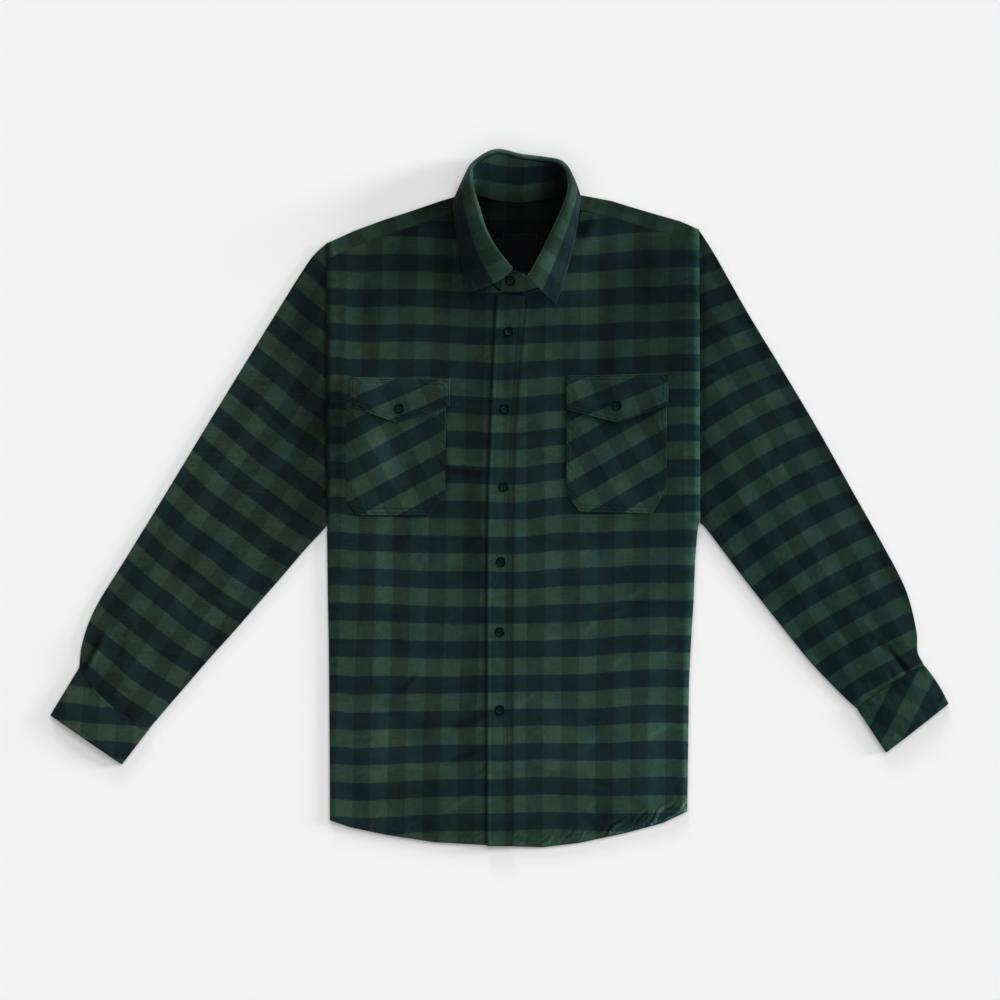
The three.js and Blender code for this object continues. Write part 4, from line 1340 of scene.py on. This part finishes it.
def flat_tube(name, rows, rings_step, wall, seed, joined_at=()):
    """A flattened tube through a table of sections, its lower layer on the table."""
    length = math.hypot(rows["out_x"][-1] - rows["out_x"][0], rows["out_y"][-1] - rows["out_y"][0])
    t = stations(length, rings_step, lines=joined_at)[:, None]
    radius = (wall + GAP) / 2
    spread = stations(100, 1.15 * rings_step / 3, fine=(0.4, 1.0, 1.8))

    def read(column):
        return along(rows, t, column)

    run_x, run_y = read("in_x") - read("out_x"), read("in_y") - read("out_y")
    width = np.hypot(run_x, run_y)
    inset = radius / width
    arc = np.linspace(-math.pi / 2, math.pi / 2, 8)[1:-1]
    s_parts, z_parts, top_parts = [], [], []
    across = inset + (1 - 2 * inset) * spread[None, :]
    under = inset + (1 - 2 * inset) * stations(100, 1.3 * rings_step, fine=(0.4, 1.8))[None, :]
    s_parts.append(under)
    z_parts.append(wall / 2 + 0 * under)
    top_parts.append(0 * under)
    s_parts.append(1 - inset + inset * np.cos(arc)[None, :])
    z_parts.append(wall / 2 + radius * (1 + np.sin(arc))[None, :] + 0 * t)
    top_parts.append(0 * t * arc[None, :])
    s_parts.append(across[:, ::-1])
    z_parts.append(wall / 2 + 2 * radius + 0 * across)
    top_parts.append(1 + 0 * across)
    s_parts.append(inset - inset * np.cos(arc)[None, :])
    z_parts.append(wall / 2 + radius * (1 - np.sin(arc))[None, :] + 0 * t)
    top_parts.append(0 * t * arc[None, :])
    s, z, top = (np.concatenate(p, axis=1) for p in (s_parts, z_parts, top_parts))
    hand = np.sign(np.where(run_x == 0, 1, run_x)) * (1 if rows["out_x"][0] < 0 else -1)
    bow = 4 * s * (1 - s) * read("bow")
    x = read("out_x") + run_x * s + bow * hand * run_y / width
    y = read("out_y") + run_y * s - bow * hand * run_x / width
    edge = np.minimum(s, 1 - s)
    fullness = smooth(edge * 3.2)
    swell = read("rise") * fullness
    to_end = np.minimum(t, 1 - t) * length
    if name in SLEEVE_CRUMPLE:
        swell += fullness * folds_at(SLEEVE_FOLDS, x, y)
        swell += smooth(edge * width / 8) * folds_at(SLEEVE_CREASES, x, y)
        swell += smooth(edge * width / 10) * smooth(to_end / 6) * folds_at(SLEEVE_CRUMPLE[name], x, y)
    swell += smooth(edge * width / 10) * smooth(to_end / 6) * ripple(x, y, seed)
    swell += smooth(edge * width / 6) * smooth(to_end / 3) * pucker(to_end, s * width, 12, 0.25, 14, seed + 1)
    mid = np.stack([x, y, z + top * swell], -1)
    outer, inner = thicken(mid, wall, wraps=True, grooves=joined_at, groove_depth=0.15)
    return outer, inner, mid


def tube_uv(mid, angle, warp_at, weft_at, skew=0.0):
    x, y = mid[..., 0], mid[..., 1]
    wave = 1.1 * np.sin((x + y) / 37) + 0.7 * np.sin((x - y) / 19)
    return check_uv(x + 0.4 * wave, y + wave, angle, warp_at, weft_at, skew=skew)


def bend_weft(uv, middle, bend, stretch, held_at):
    """Curves the weft across a sleeve and stretches it along, as the cloth was pulled straight."""
    across = uv[..., 0] / MM - middle
    along_it = uv[..., 1] / MM - held_at
    lift = bend * across**2 + stretch * along_it
    return uv + np.stack([0 * lift, lift * MM], -1)


class SHIRT_OT_sleeves(bpy.types.Operator):
    """Make both sleeves, with the pleats above their cuffs"""

    bl_idname = "shirt.sleeves"
    bl_label = "Sleeves"

    def execute(self, context):
        step = cloth_settings().step / MM
        for name, rows, cut, bent, seed in (
            ("sleeve_right", SLEEVE_RIGHT, (-33.0, -9, 27.3, -4.2), (-234, -0.0005, -0.0114, -223), 21),
            ("sleeve_left", SLEEVE_LEFT, (30.5, -1, 3.2, -2.0), (290, 0.0012, 0.019, -191), 33),
        ):
            outer, inner, mid = flat_tube(name, rows, step, CLOTH, seed)
            uv = bend_weft(tube_uv(mid, *cut), *bent)
            piece = wall_object(name, outer, inner, uv, wraps=True)
            finish_cloth(piece, [name])
        return {"FINISHED"}


class SHIRT_OT_cuffs(bpy.types.Operator):
    """Make both cuffs, cut on the bias"""

    bl_idname = "shirt.cuffs"
    bl_label = "Cuffs"

    def execute(self, context):
        for name, rows, angle, warp_at, weft_at, seed in (
            ("cuff_right", CUFF_RIGHT, -4.0, 1, -7.4, 41),
            ("cuff_left", CUFF_LEFT, 63.0, -13, 5, 43),
        ):
            outer, inner, mid = flat_tube(name, rows, 1.6, DOUBLED, seed, joined_at=(5,))
            # Painted shade: a narrow darker band at the cuff's end by the sleeve.
            from_start = distances(mid, across=False) + 99 * (np.arange(len(mid)) > len(mid) / 2)[:, None]
            painted_light = np.exp(-0.6 * np.exp(-((from_start / 1.3) ** 2)))
            uv = tube_uv(mid, angle, warp_at, weft_at)
            piece = wall_object(name, outer, inner, uv, wraps=True, painted_light=painted_light)
            lines = SEAMS.setdefault("cuffs", [])
            ring_run = np.cumsum(np.linalg.norm(np.diff(outer[:, 0], axis=0), axis=1))
            row = int(np.argmin(abs(ring_run - 5))) + 1
            high = outer[row][outer[row][:, 2] > DOUBLED + GAP]
            lines.append(high[4:-4])
            finish_cloth(piece, [name])
        return {"FINISHED"}


def collar_points(u):
    seam = np.stack([along(COLLAR, u, f"seam_{c}") for c in "xyz"], -1)
    top = np.stack([along(COLLAR, u, f"top_{c}") for c in "xyz"], -1)
    return seam, top


def unit(vectors):
    return vectors / np.maximum(np.linalg.norm(vectors, axis=-1, keepdims=True), 1e-9)


def fall_grid(u, roll_steps, leaf_steps):
    """Middle surface of the fall: round the roll, then down to the free edge."""
    last = FALL_FIRST + len(FALL["roll"]) - 1
    place = mix(FALL_FIRST, last, u) / (len(COLLAR["top_x"]) - 1)
    seam, top = collar_points(place)
    up = unit(top - seam)
    ahead, behind = collar_points(place + 0.01)[1], collar_points(place - 0.01)[1]
    over = unit(np.cross(up, ahead - behind))
    start = top + up * ROLL_GAP
    radius = along(FALL, u, "roll")[:, None]
    whole = np.radians(along(FALL, u, "turn"))[:, None]

    def on_roll(angle):
        return start + up * radius * np.sin(angle) + over * radius * (1 - np.cos(angle))

    rows = [on_roll(whole * k) for k in np.linspace(0, 1, roll_steps + 1)]
    leaf = rows[-1]
    edge = np.stack([along(FALL, u, f"edge_{c}") for c in "xyz"], -1)
    rolled_to = up * np.cos(whole) + over * np.sin(whole)
    heading = unit(mix(unit(edge - leaf), rolled_to, 0.35))
    out = leaf + heading * np.linalg.norm(leaf - edge, axis=1, keepdims=True) / 3
    low = mix(edge, out, 0.5)
    low[:, 2] += along(FALL, u, "crown")
    for t in stations(40, 40 / leaf_steps, lines=(5.5,))[1:]:
        a, b, c, d = (1 - t) ** 3, 3 * t * (1 - t) ** 2, 3 * t * t * (1 - t), t**3
        rows.append(a * leaf + b * out + c * low + d * edge)
    return np.array(rows)


def surface_uv(mid, warp_at, weft_at, depth=None):
    """Cloth coordinates measured along the piece itself, for pieces that turn in space."""
    run_u = np.concatenate(
        [np.zeros((mid.shape[0], 1)), np.cumsum(np.linalg.norm(np.diff(mid, axis=1), axis=2), axis=1)], axis=1
    )
    run_v = np.concatenate(
        [np.zeros((1, mid.shape[1])), np.cumsum(np.linalg.norm(np.diff(mid, axis=0), axis=2), axis=0)], axis=0
    )
    run_u = np.broadcast_to(run_u[mid.shape[0] // 2], run_u.shape)
    if depth:
        run_v = run_v / run_v[-1:] * depth
    return check_uv(run_u, run_v, 0, warp_at, weft_at)


class SHIRT_OT_collar(bpy.types.Operator):
    """Make the collar's stand and its fall with two points"""

    bl_idname = "shirt.collar"
    bl_label = "Collar"

    def execute(self, context):
        u = stations(430, 2)
        seam, top = collar_points(u)
        v = stations(30, 1.2, lines=(3,))
        mid = seam[None] + (top - seam)[None] * v[:, None, None]
        outer, inner = thicken(mid, STAND_THICKNESS, grooves=(3,), groove_depth=0.2)
        x, y = mid[..., 0], mid[..., 1]
        # Painted shadow on the stand: inside the collar's +x side and along the foot of its back.
        shadow = 2.0 * np.exp(-(((x - 76) / 24) ** 2) - ((y - 356) / 32) ** 2)
        shadow += 0.5 * np.exp(-(((y - 346) / 6) ** 2)) * smooth((x + 20) / 30)
        piece = wall_object("collar_stand", outer, inner, surface_uv(mid, 5, 21), painted_light=np.exp(-shadow))
        finish_cloth(piece, ["collar_stand"])
        keep_lines("collar_stand", outer, [3], "b")
        keep_lines("collar_stand", inner, [3], "b")
        u = stations(400, 1.6, lines=(5.5,))
        mid = fall_grid(u, 10, 26)
        lift = np.exp(-((u * 400 / 26) ** 2))[None, :] * np.linspace(0, 1, mid.shape[0])[:, None] ** 2
        waves = np.sin(np.linspace(0, 1, mid.shape[0]) * 9)[:, None]
        mid[..., 2] += 1.1 * lift * waves + 0.9 * lift
        outer, inner = thicken(mid, FALL_THICKNESS, grooves=(5.5,), groove_depth=0.25)
        uv = surface_uv(mid, 0, 21.5, depth=40)
        # Its cut edges carry a painted highlight.
        piece = wall_object("collar_fall", outer, inner, uv, painted_light=painted_edge_highlight(mid, 0.45))
        over = outer if outer[-1, 20, 2] > inner[-1, 20, 2] else inner
        keep_lines("collar_fall", over, [5.5], "lrt")
        finish_cloth(
            piece,
            ["collar_fall"],
        )
        return {"FINISHED"}


def patch(rows, step, under, lines):
    """A patch cut to a table of corners, lying on what is under it."""
    first, last = rows["x"][0], rows["x"][-1]
    height = float(np.mean(rows["top"] - rows["bottom"]))
    u = stations(last - first, step, lines=lines)
    for corner in rows["x"][1:-1]:
        share = (corner - first) / (last - first)
        u[np.argmin(abs(u - share))] = share
    v = stations(height, step, lines=lines)

    def outline(uu, vv):
        x = mix(first, last, uu)
        return x, mix(read_off(rows, "x", x, "bottom"), read_off(rows, "x", x, "top"), vv)

    mid = panel_grid(u, v, outline, under)
    run = mid[..., 0] + mid[..., 1]
    border = np.minimum(distances(mid), distances(mid, across=False))
    mid[..., 2] += pucker(border - 3, run, 9, 0.16, 6, 5) * smooth(border / 2)
    return mid, *thicken(mid, CLOTH, grooves=lines)


def pocket_under(x, y):
    return front_over(x, y) + LAY_GAP


def flap_under(rows):
    def under(x, y):
        from_seam = read_off(rows, "x", x, "top") - y
        return pocket_under(x, y) + POCKET_LAYER * smooth(from_seam / 12)

    return under


class SHIRT_OT_pockets(bpy.types.Operator):
    """Make the chest pockets and their pointed flaps, cut on the bias"""

    bl_idname = "shirt.pockets"
    bl_label = "Pockets and flaps"

    def execute(self, context):
        for side, front, *cuts in (
            ("right", "front_right", (POCKET_RIGHT, 28.0, 19, 19), (FLAP_RIGHT, 23.0, -13, 32.7)),
            ("left", "front_left", (POCKET_LEFT, 29.5, 0, -2.3), (FLAP_LEFT, 22.0, 7, 11.8)),
        ):
            for (kind, flat), (rows, bias, warp_at, weft_at) in zip(
                (("pocket", (120, 162)), ("flap", (120, 62))), cuts
            ):
                name = f"{kind}_{side}"
                under = pocket_under if kind == "pocket" else flap_under(rows)
                mid, outer, inner = patch(rows, 2.2, under, (2, 7))
                uv = check_uv(mid[..., 0], mid[..., 1], bias, warp_at, weft_at)
                # Pockets and flaps carry a painted highlight along their cut edges.
                piece = wall_object(name, outer, inner, uv, painted_light=painted_edge_highlight(mid, 0.3))
                keep_lines(f"pockets_{side}", outer, [2, 7], "lrb" if "pocket" in name else "lrbt")
                finish_cloth(piece, [name])
        return {"FINISHED"}


class SHIRT_OT_label(bpy.types.Operator):
    """Make the plain dark label inside the neck"""

    bl_idname = "shirt.label"
    bl_label = "Neck label"

    def execute(self, context):
        width, height, thickness = 42, 45, 0.7
        centre = (23.3, 283)
        u, v = stations(width, 1.5), stations(height, 1.5)

        def outline(uu, vv):
            return centre[0] + (uu - 0.5) * width, centre[1] + (vv - 0.5) * height

        def under(x, y):
            return CLOTH + GAP + 0.12 * (1 + np.sin(x / 4.1) * np.cos(y / 6.3))

        mid = panel_grid(u, v, outline, under, thickness)
        outer, inner = thicken(mid, thickness)
        piece = wall_object("neck_label", outer, inner, check_uv(mid[..., 0], mid[..., 1]))
        piece.data.materials.append(
            simple_material("dark_satin", (0.0014, 0.0016, 0.0022), 0.6, 0.04, 0.25, 1500.0)
        )
        keep_lines("neck_label", outer, [1.6], "lrbt")
        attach(piece, "root")
        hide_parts("neck_label")
        return {"FINISHED"}


def revolve(builder, profile, segments, material=0):
    """Turns a closed profile of radius and height about the vertical axis."""
    rings = []
    for radius, height in profile:
        if radius == 0:
            rings.append([builder.verts.new((0, 0, height))])
            continue
        ring = []
        for k in range(segments):
            angle = 2 * math.pi * k / segments
            ring.append(builder.verts.new((radius * math.cos(angle), radius * math.sin(angle), height)))
        rings.append(ring)
    for low, high in zip(rings, rings[1:]):
        for k in range(segments):
            nxt = (k + 1) % segments
            corners = [low[k % len(low)], low[nxt % len(low)], high[nxt % len(high)], high[k % len(high)]]
            unique = list(dict.fromkeys(corners))
            face = builder.faces.new(unique)
            face.smooth = True
            face.material_index = material
    builder.normal_update()


def button_mesh():
    """A rimmed four-hole button with its holes cut through, standing on z 0."""
    look = bpy.context.scene.shirt_button
    radius, height = look.diameter / 2, look.height
    dish = 0.0008
    profile = [(0, 0), (radius - 0.0014, 0), (radius - 0.0006, 0.0002), (radius - 0.0001, 0.0009)]
    profile += [
        (radius, height * 0.5),
        (radius - 0.0001, height - 0.0006),
        (radius - 0.0004, height - 0.0002),
    ]
    profile += [(radius - 0.0008, height), (radius - 0.0013, height - 0.0001)]
    profile += [(radius - 0.0018, height - 0.0005), (radius - 0.0024, height - dish), (0, height - dish)]
    builder = bmesh.new()
    revolve(builder, profile, look.segments)
    bmesh.ops.recalc_face_normals(builder, faces=builder.faces)
    body = bpy.data.meshes.new("button_body")
    builder.to_mesh(body)
    builder.free()
    cutter_builder = bmesh.new()
    for dx in (-0.00125, 0.00125):
        for dy in (-0.00125, 0.00125):
            bmesh.ops.create_cone(
                cutter_builder,
                cap_ends=True,
                segments=16,
                radius1=0.00075,
                radius2=0.00075,
                depth=0.01,
                matrix=Matrix.Translation((dx, dy, 0.001)),
            )
    cutter = bpy.data.meshes.new("button_holes")
    cutter_builder.to_mesh(cutter)
    cutter_builder.free()
    solid = bpy.data.objects.new("button_solid", body)
    holes = bpy.data.objects.new("button_cutter", cutter)
    for made in (solid, holes):
        bpy.context.scene.collection.objects.link(made)
    cut = solid.modifiers.new("holes", "BOOLEAN")
    cut.operation = "DIFFERENCE"
    cut.object = holes
    cut.solver = "EXACT"
    graph = bpy.context.evaluated_depsgraph_get()
    mesh = bpy.data.meshes.new_from_object(solid.evaluated_get(graph))
    bpy.data.objects.remove(solid)
    bpy.data.objects.remove(holes)
    # Faces near the rim take the third material, a darker copy of the resin: painted shade.
    dish_edge = radius - 0.0018
    for face in mesh.polygons:
        face.material_index = 0 if math.hypot(face.center.x, face.center.y) < dish_edge else 2
    return mesh


def thread_mesh(builder, height):
    """Two bars of thread across the button, each going down through a pair of holes."""
    radius = 0.00022
    for side in (-0.00125, 0.00125):
        for strand in (-0.00024, 0.00024):
            path = []
            for k in range(13):
                t = k / 12
                y = mix(-0.00125, 0.00125, t)
                rise = 0.0006 * math.sin(math.pi * t) ** 0.5 - 0.0004
                path.append(Vector((side + strand, y, height + rise)))
            rings = []
            for k, point in enumerate(path):
                ahead = path[min(k + 1, 12)] - path[max(k - 1, 0)]
                ahead.normalize()
                across = Vector((1, 0, 0))
                lift = across.cross(ahead).normalized()
                ring = []
                for a in range(6):
                    angle = 2 * math.pi * a / 6
                    spot = point + across * radius * math.cos(angle) + lift * radius * math.sin(angle)
                    ring.append(builder.verts.new(spot))
                rings.append(ring)
            for low, high in zip(rings, rings[1:]):
                for a in range(6):
                    nxt = (a + 1) % 6
                    face = builder.faces.new((low[a], low[nxt], high[nxt], high[a]))
                    face.smooth = True
                    face.material_index = 1
            builder.faces.new(rings[0][::-1]).material_index = 1
            builder.faces.new(rings[-1]).material_index = 1


class SHIRT_OT_buttons(bpy.types.Operator):
    """Make the nine buttons, sewn on with thread"""

    bl_idname = "shirt.buttons"
    bl_label = "Buttons"

    def execute(self, context):
        look = context.scene.shirt_button
        sewing = context.scene.shirt_sewing
        colour, shine = tuple(look.colour), tuple(look.shine)
        resin = simple_material("dark_resin", colour, 0.35, 0.11, 0.5, 420.0, shine)
        # The rim is a darker copy of the same resin, a painted shade round the button's edge.
        rim = simple_material("dark_resin_rim", tuple(c * 0.3 for c in colour), 0.3, 0.06, 0.2, 420.0, shine)
        thread = simple_material("thread", tuple(sewing.colour), 0.8, 0.05, 0.2, 3000.0)
        plain = button_mesh()
        places = {"button_stand": STAND_BUTTON, **BUTTONS, **FLAP_BUTTONS}
        draw = np.random.default_rng(12)
        for name, (x, y) in places.items():
            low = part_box(name)[0].z
            turn = Matrix.Rotation(draw.uniform(-0.5, 0.5), 4, "Z")
            tilt = Matrix.Rotation(math.radians(draw.uniform(-4, 4)), 4, "X")
            builder = bmesh.new()
            builder.from_mesh(plain)
            thread_mesh(builder, look.height - 0.0008)
            bmesh.ops.recalc_face_normals(builder, faces=builder.faces)
            builder.transform(Matrix.Translation((x * MM, y * MM, low)) @ turn @ tilt)
            mesh = bpy.data.meshes.new(name)
            builder.to_mesh(mesh)
            builder.free()
            mesh.materials.append(resin)
            mesh.materials.append(thread)
            mesh.materials.append(rim)
            piece = bpy.data.objects.new(name + "_sewn", mesh)
            bpy.context.scene.collection.objects.link(piece)
            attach(piece, "root")
            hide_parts(name)
        bpy.data.meshes.remove(plain)
        return {"FINISHED"}


def stitch_tree(thread):
    """Geometry Nodes that lay a stitch on each step of every line in the object's mesh."""
    tree = bpy.data.node_groups.new("Stitches", "GeometryNodeTree")
    face = tree.interface
    face.new_socket("Lines", in_out="INPUT", socket_type="NodeSocketGeometry")
    pitch = face.new_socket("Pitch", in_out="INPUT", socket_type="NodeSocketFloat")
    width = face.new_socket("Thread Width", in_out="INPUT", socket_type="NodeSocketFloat")
    pitch.default_value, width.default_value = 0.0028, 0.00042
    face.new_socket("Stitches", in_out="OUTPUT", socket_type="NodeSocketGeometry")
    begin = tree.nodes.new("NodeGroupInput")
    end = tree.nodes.new("NodeGroupOutput")
    curve = tree.nodes.new("GeometryNodeMeshToCurve")
    resample = tree.nodes.new("GeometryNodeResampleCurve")
    resample.mode = "LENGTH"
    tangent = tree.nodes.new("GeometryNodeInputTangent")
    turn = tree.nodes.new("FunctionNodeAlignRotationToVector")
    turn.axis = "X"
    ball = tree.nodes.new("GeometryNodeMeshUVSphere")
    ball.inputs["Segments"].default_value = 6
    ball.inputs["Rings"].default_value = 4
    ball.inputs["Radius"].default_value = 0.5
    shape = tree.nodes.new("ShaderNodeCombineXYZ")
    long = tree.nodes.new("ShaderNodeMath")
    long.operation = "MULTIPLY"
    long.inputs[1].default_value = 0.74
    stretch = tree.nodes.new("GeometryNodeTransform")
    place = tree.nodes.new("GeometryNodeInstanceOnPoints")
    real = tree.nodes.new("GeometryNodeRealizeInstances")
    paint = tree.nodes.new("GeometryNodeSetMaterial")
    paint.inputs["Material"].default_value = thread
    link = tree.links.new
    link(begin.outputs["Lines"], curve.inputs["Mesh"])
    link(curve.outputs["Curve"], resample.inputs["Curve"])
    link(begin.outputs["Pitch"], resample.inputs["Length"])
    link(resample.outputs["Curve"], place.inputs["Points"])
    link(tangent.outputs["Tangent"], turn.inputs["Vector"])
    link(turn.outputs["Rotation"], place.inputs["Rotation"])
    link(begin.outputs["Pitch"], long.inputs[0])
    link(long.outputs[0], shape.inputs["X"])
    link(begin.outputs["Thread Width"], shape.inputs["Y"])
    link(begin.outputs["Thread Width"], shape.inputs["Z"])
    link(ball.outputs["Mesh"], stretch.inputs["Geometry"])
    link(shape.outputs["Vector"], stretch.inputs["Scale"])
    link(stretch.outputs["Geometry"], place.inputs["Instance"])
    link(place.outputs["Instances"], real.inputs["Geometry"])
    link(real.outputs["Geometry"], paint.inputs["Geometry"])
    link(paint.outputs["Geometry"], end.inputs["Stitches"])
    return tree, pitch.identifier, width.identifier


class SHIRT_OT_sewing(bpy.types.Operator):
    """Make the rows of stitches along the edges and seams"""

    bl_idname = "shirt.sewing"
    bl_label = "Sewing"

    def execute(self, context):
        look = context.scene.shirt_sewing
        thread = simple_material("thread", tuple(look.colour), 0.8, 0.05, 0.2, 3000.0)
        tree, pitch, width = stitch_tree(thread)
        for name, lines in SEAMS.items():
            points, edges = [], []
            for line in lines:
                start = len(points)
                points += [tuple(p * MM) for p in line]
                edges += [(start + k, start + k + 1) for k in range(len(line) - 1)]
            mesh = bpy.data.meshes.new(f"lines_{name}")
            mesh.from_pydata(points, edges, [])
            holder = bpy.data.objects.new(f"lines_{name}", mesh)
            bpy.context.scene.collection.objects.link(holder)
            maker = holder.modifiers.new("stitches", "NODES")
            maker.node_group = tree
            maker[pitch] = look.pitch
            maker[width] = look.thread
            graph = bpy.context.evaluated_depsgraph_get()
            made = bpy.data.meshes.new_from_object(holder.evaluated_get(graph))
            made.name = f"stitches_{name}"
            bpy.data.objects.remove(holder)
            piece = bpy.data.objects.new(f"stitches_{name}", made)
            bpy.context.scene.collection.objects.link(piece)
            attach(piece, "root")
        return {"FINISHED"}


class SHIRT_OT_studio(bpy.types.Operator):
    """Make the pale floor, the soft light and the camera straight above"""

    bl_idname = "shirt.studio"
    bl_label = "Studio"

    def execute(self, context):
        look = context.scene.shirt_studio
        reach = 6.0
        mesh = bpy.data.meshes.new("floor")
        corners = [(-reach, -reach, 0), (reach, -reach, 0), (reach, reach, 0), (-reach, reach, 0)]
        mesh.from_pydata(corners, [], [(0, 1, 2, 3)])
        floor = bpy.data.objects.new("floor", mesh)
        context.scene.collection.objects.link(floor)
        mesh.materials.append(simple_material("pale_floor", tuple(look.floor), 0.9, 0.2, 0.004, 3.0))
        world = bpy.data.worlds.new("studio")
        world.use_nodes = True
        back = world.node_tree.nodes["Background"]
        back.inputs[0].default_value = (1.0, 1.0, 1.0, 1.0)
        back.inputs[1].default_value = look.sky
        context.scene.world = world
        self.sun("key", look.key, 24, 60, 36)
        self.sun("graze_right", look.graze, 11, 12, 7)
        self.sun("graze_top", look.graze * 0.55, 12, 100, 9)
        self.camera(context, look)
        context.scene.view_settings.view_transform = "Standard"
        return {"FINISHED"}

    def sun(self, name, strength, spread, heading, height):
        light = bpy.data.lights.new(name, "SUN")
        light.energy = strength
        light.angle = math.radians(spread)
        lamp = bpy.data.objects.new(name, light)
        heading, height = math.radians(heading), math.radians(height)
        flat = math.cos(height)
        towards = Vector((flat * math.cos(heading), flat * math.sin(heading), math.sin(height)))
        lamp.rotation_euler = towards.to_track_quat("Z", "Y").to_euler()
        bpy.context.scene.collection.objects.link(lamp)

    def camera(self, context, look):
        data = bpy.data.cameras.new("camera")
        data.sensor_width = 36.0
        data.lens = data.sensor_width * look.camera_height / look.view_width
        eye = bpy.data.objects.new("camera", data)
        eye.location = (0.0006, -0.0006, look.camera_height)
        context.scene.collection.objects.link(eye)
        context.scene.camera = eye


OPERATORS = (
    SHIRT_OT_back,
    SHIRT_OT_yoke,
    SHIRT_OT_fronts,
    SHIRT_OT_placket,
    SHIRT_OT_sleeves,
    SHIRT_OT_cuffs,
    SHIRT_OT_collar,
    SHIRT_OT_pockets,
    SHIRT_OT_label,
    SHIRT_OT_buttons,
    SHIRT_OT_sewing,
    SHIRT_OT_studio,
)


class SHIRT_PT_tools(bpy.types.Panel):
    """Lists the shirt's pieces in the order they are made"""

    bl_idname = "SHIRT_PT_tools"
    bl_label = "Flannel Shirt"
    bl_space_type = "VIEW_3D"
    bl_region_type = "UI"
    bl_category = "Shirt"

    def draw(self, context):
        for settings in ("shirt_cloth", "shirt_sewing", "shirt_button", "shirt_studio"):
            group = getattr(context.scene, settings)
            for name in group.__annotations__:
                self.layout.prop(group, name)
        for operator in OPERATORS:
            self.layout.operator(operator.bl_idname)


SETTINGS = {
    "shirt_cloth": ClothSettings,
    "shirt_sewing": SewingSettings,
    "shirt_button": ButtonSettings,
    "shirt_studio": StudioSettings,
}


def register():
    for name, group in SETTINGS.items():
        bpy.utils.register_class(group)
        setattr(bpy.types.Scene, name, PointerProperty(type=group))
    for operator in OPERATORS:
        bpy.utils.register_class(operator)
    bpy.utils.register_class(SHIRT_PT_tools)


def unregister():
    bpy.utils.unregister_class(SHIRT_PT_tools)
    for operator in reversed(OPERATORS):
        bpy.utils.unregister_class(operator)
    for name, group in SETTINGS.items():
        delattr(bpy.types.Scene, name)
        bpy.utils.unregister_class(group)


def main():
    register()
    for operator in OPERATORS:
        group, name = operator.bl_idname.split(".")
        getattr(getattr(bpy.ops, group), name)()


if __name__ == "__main__":
    main()
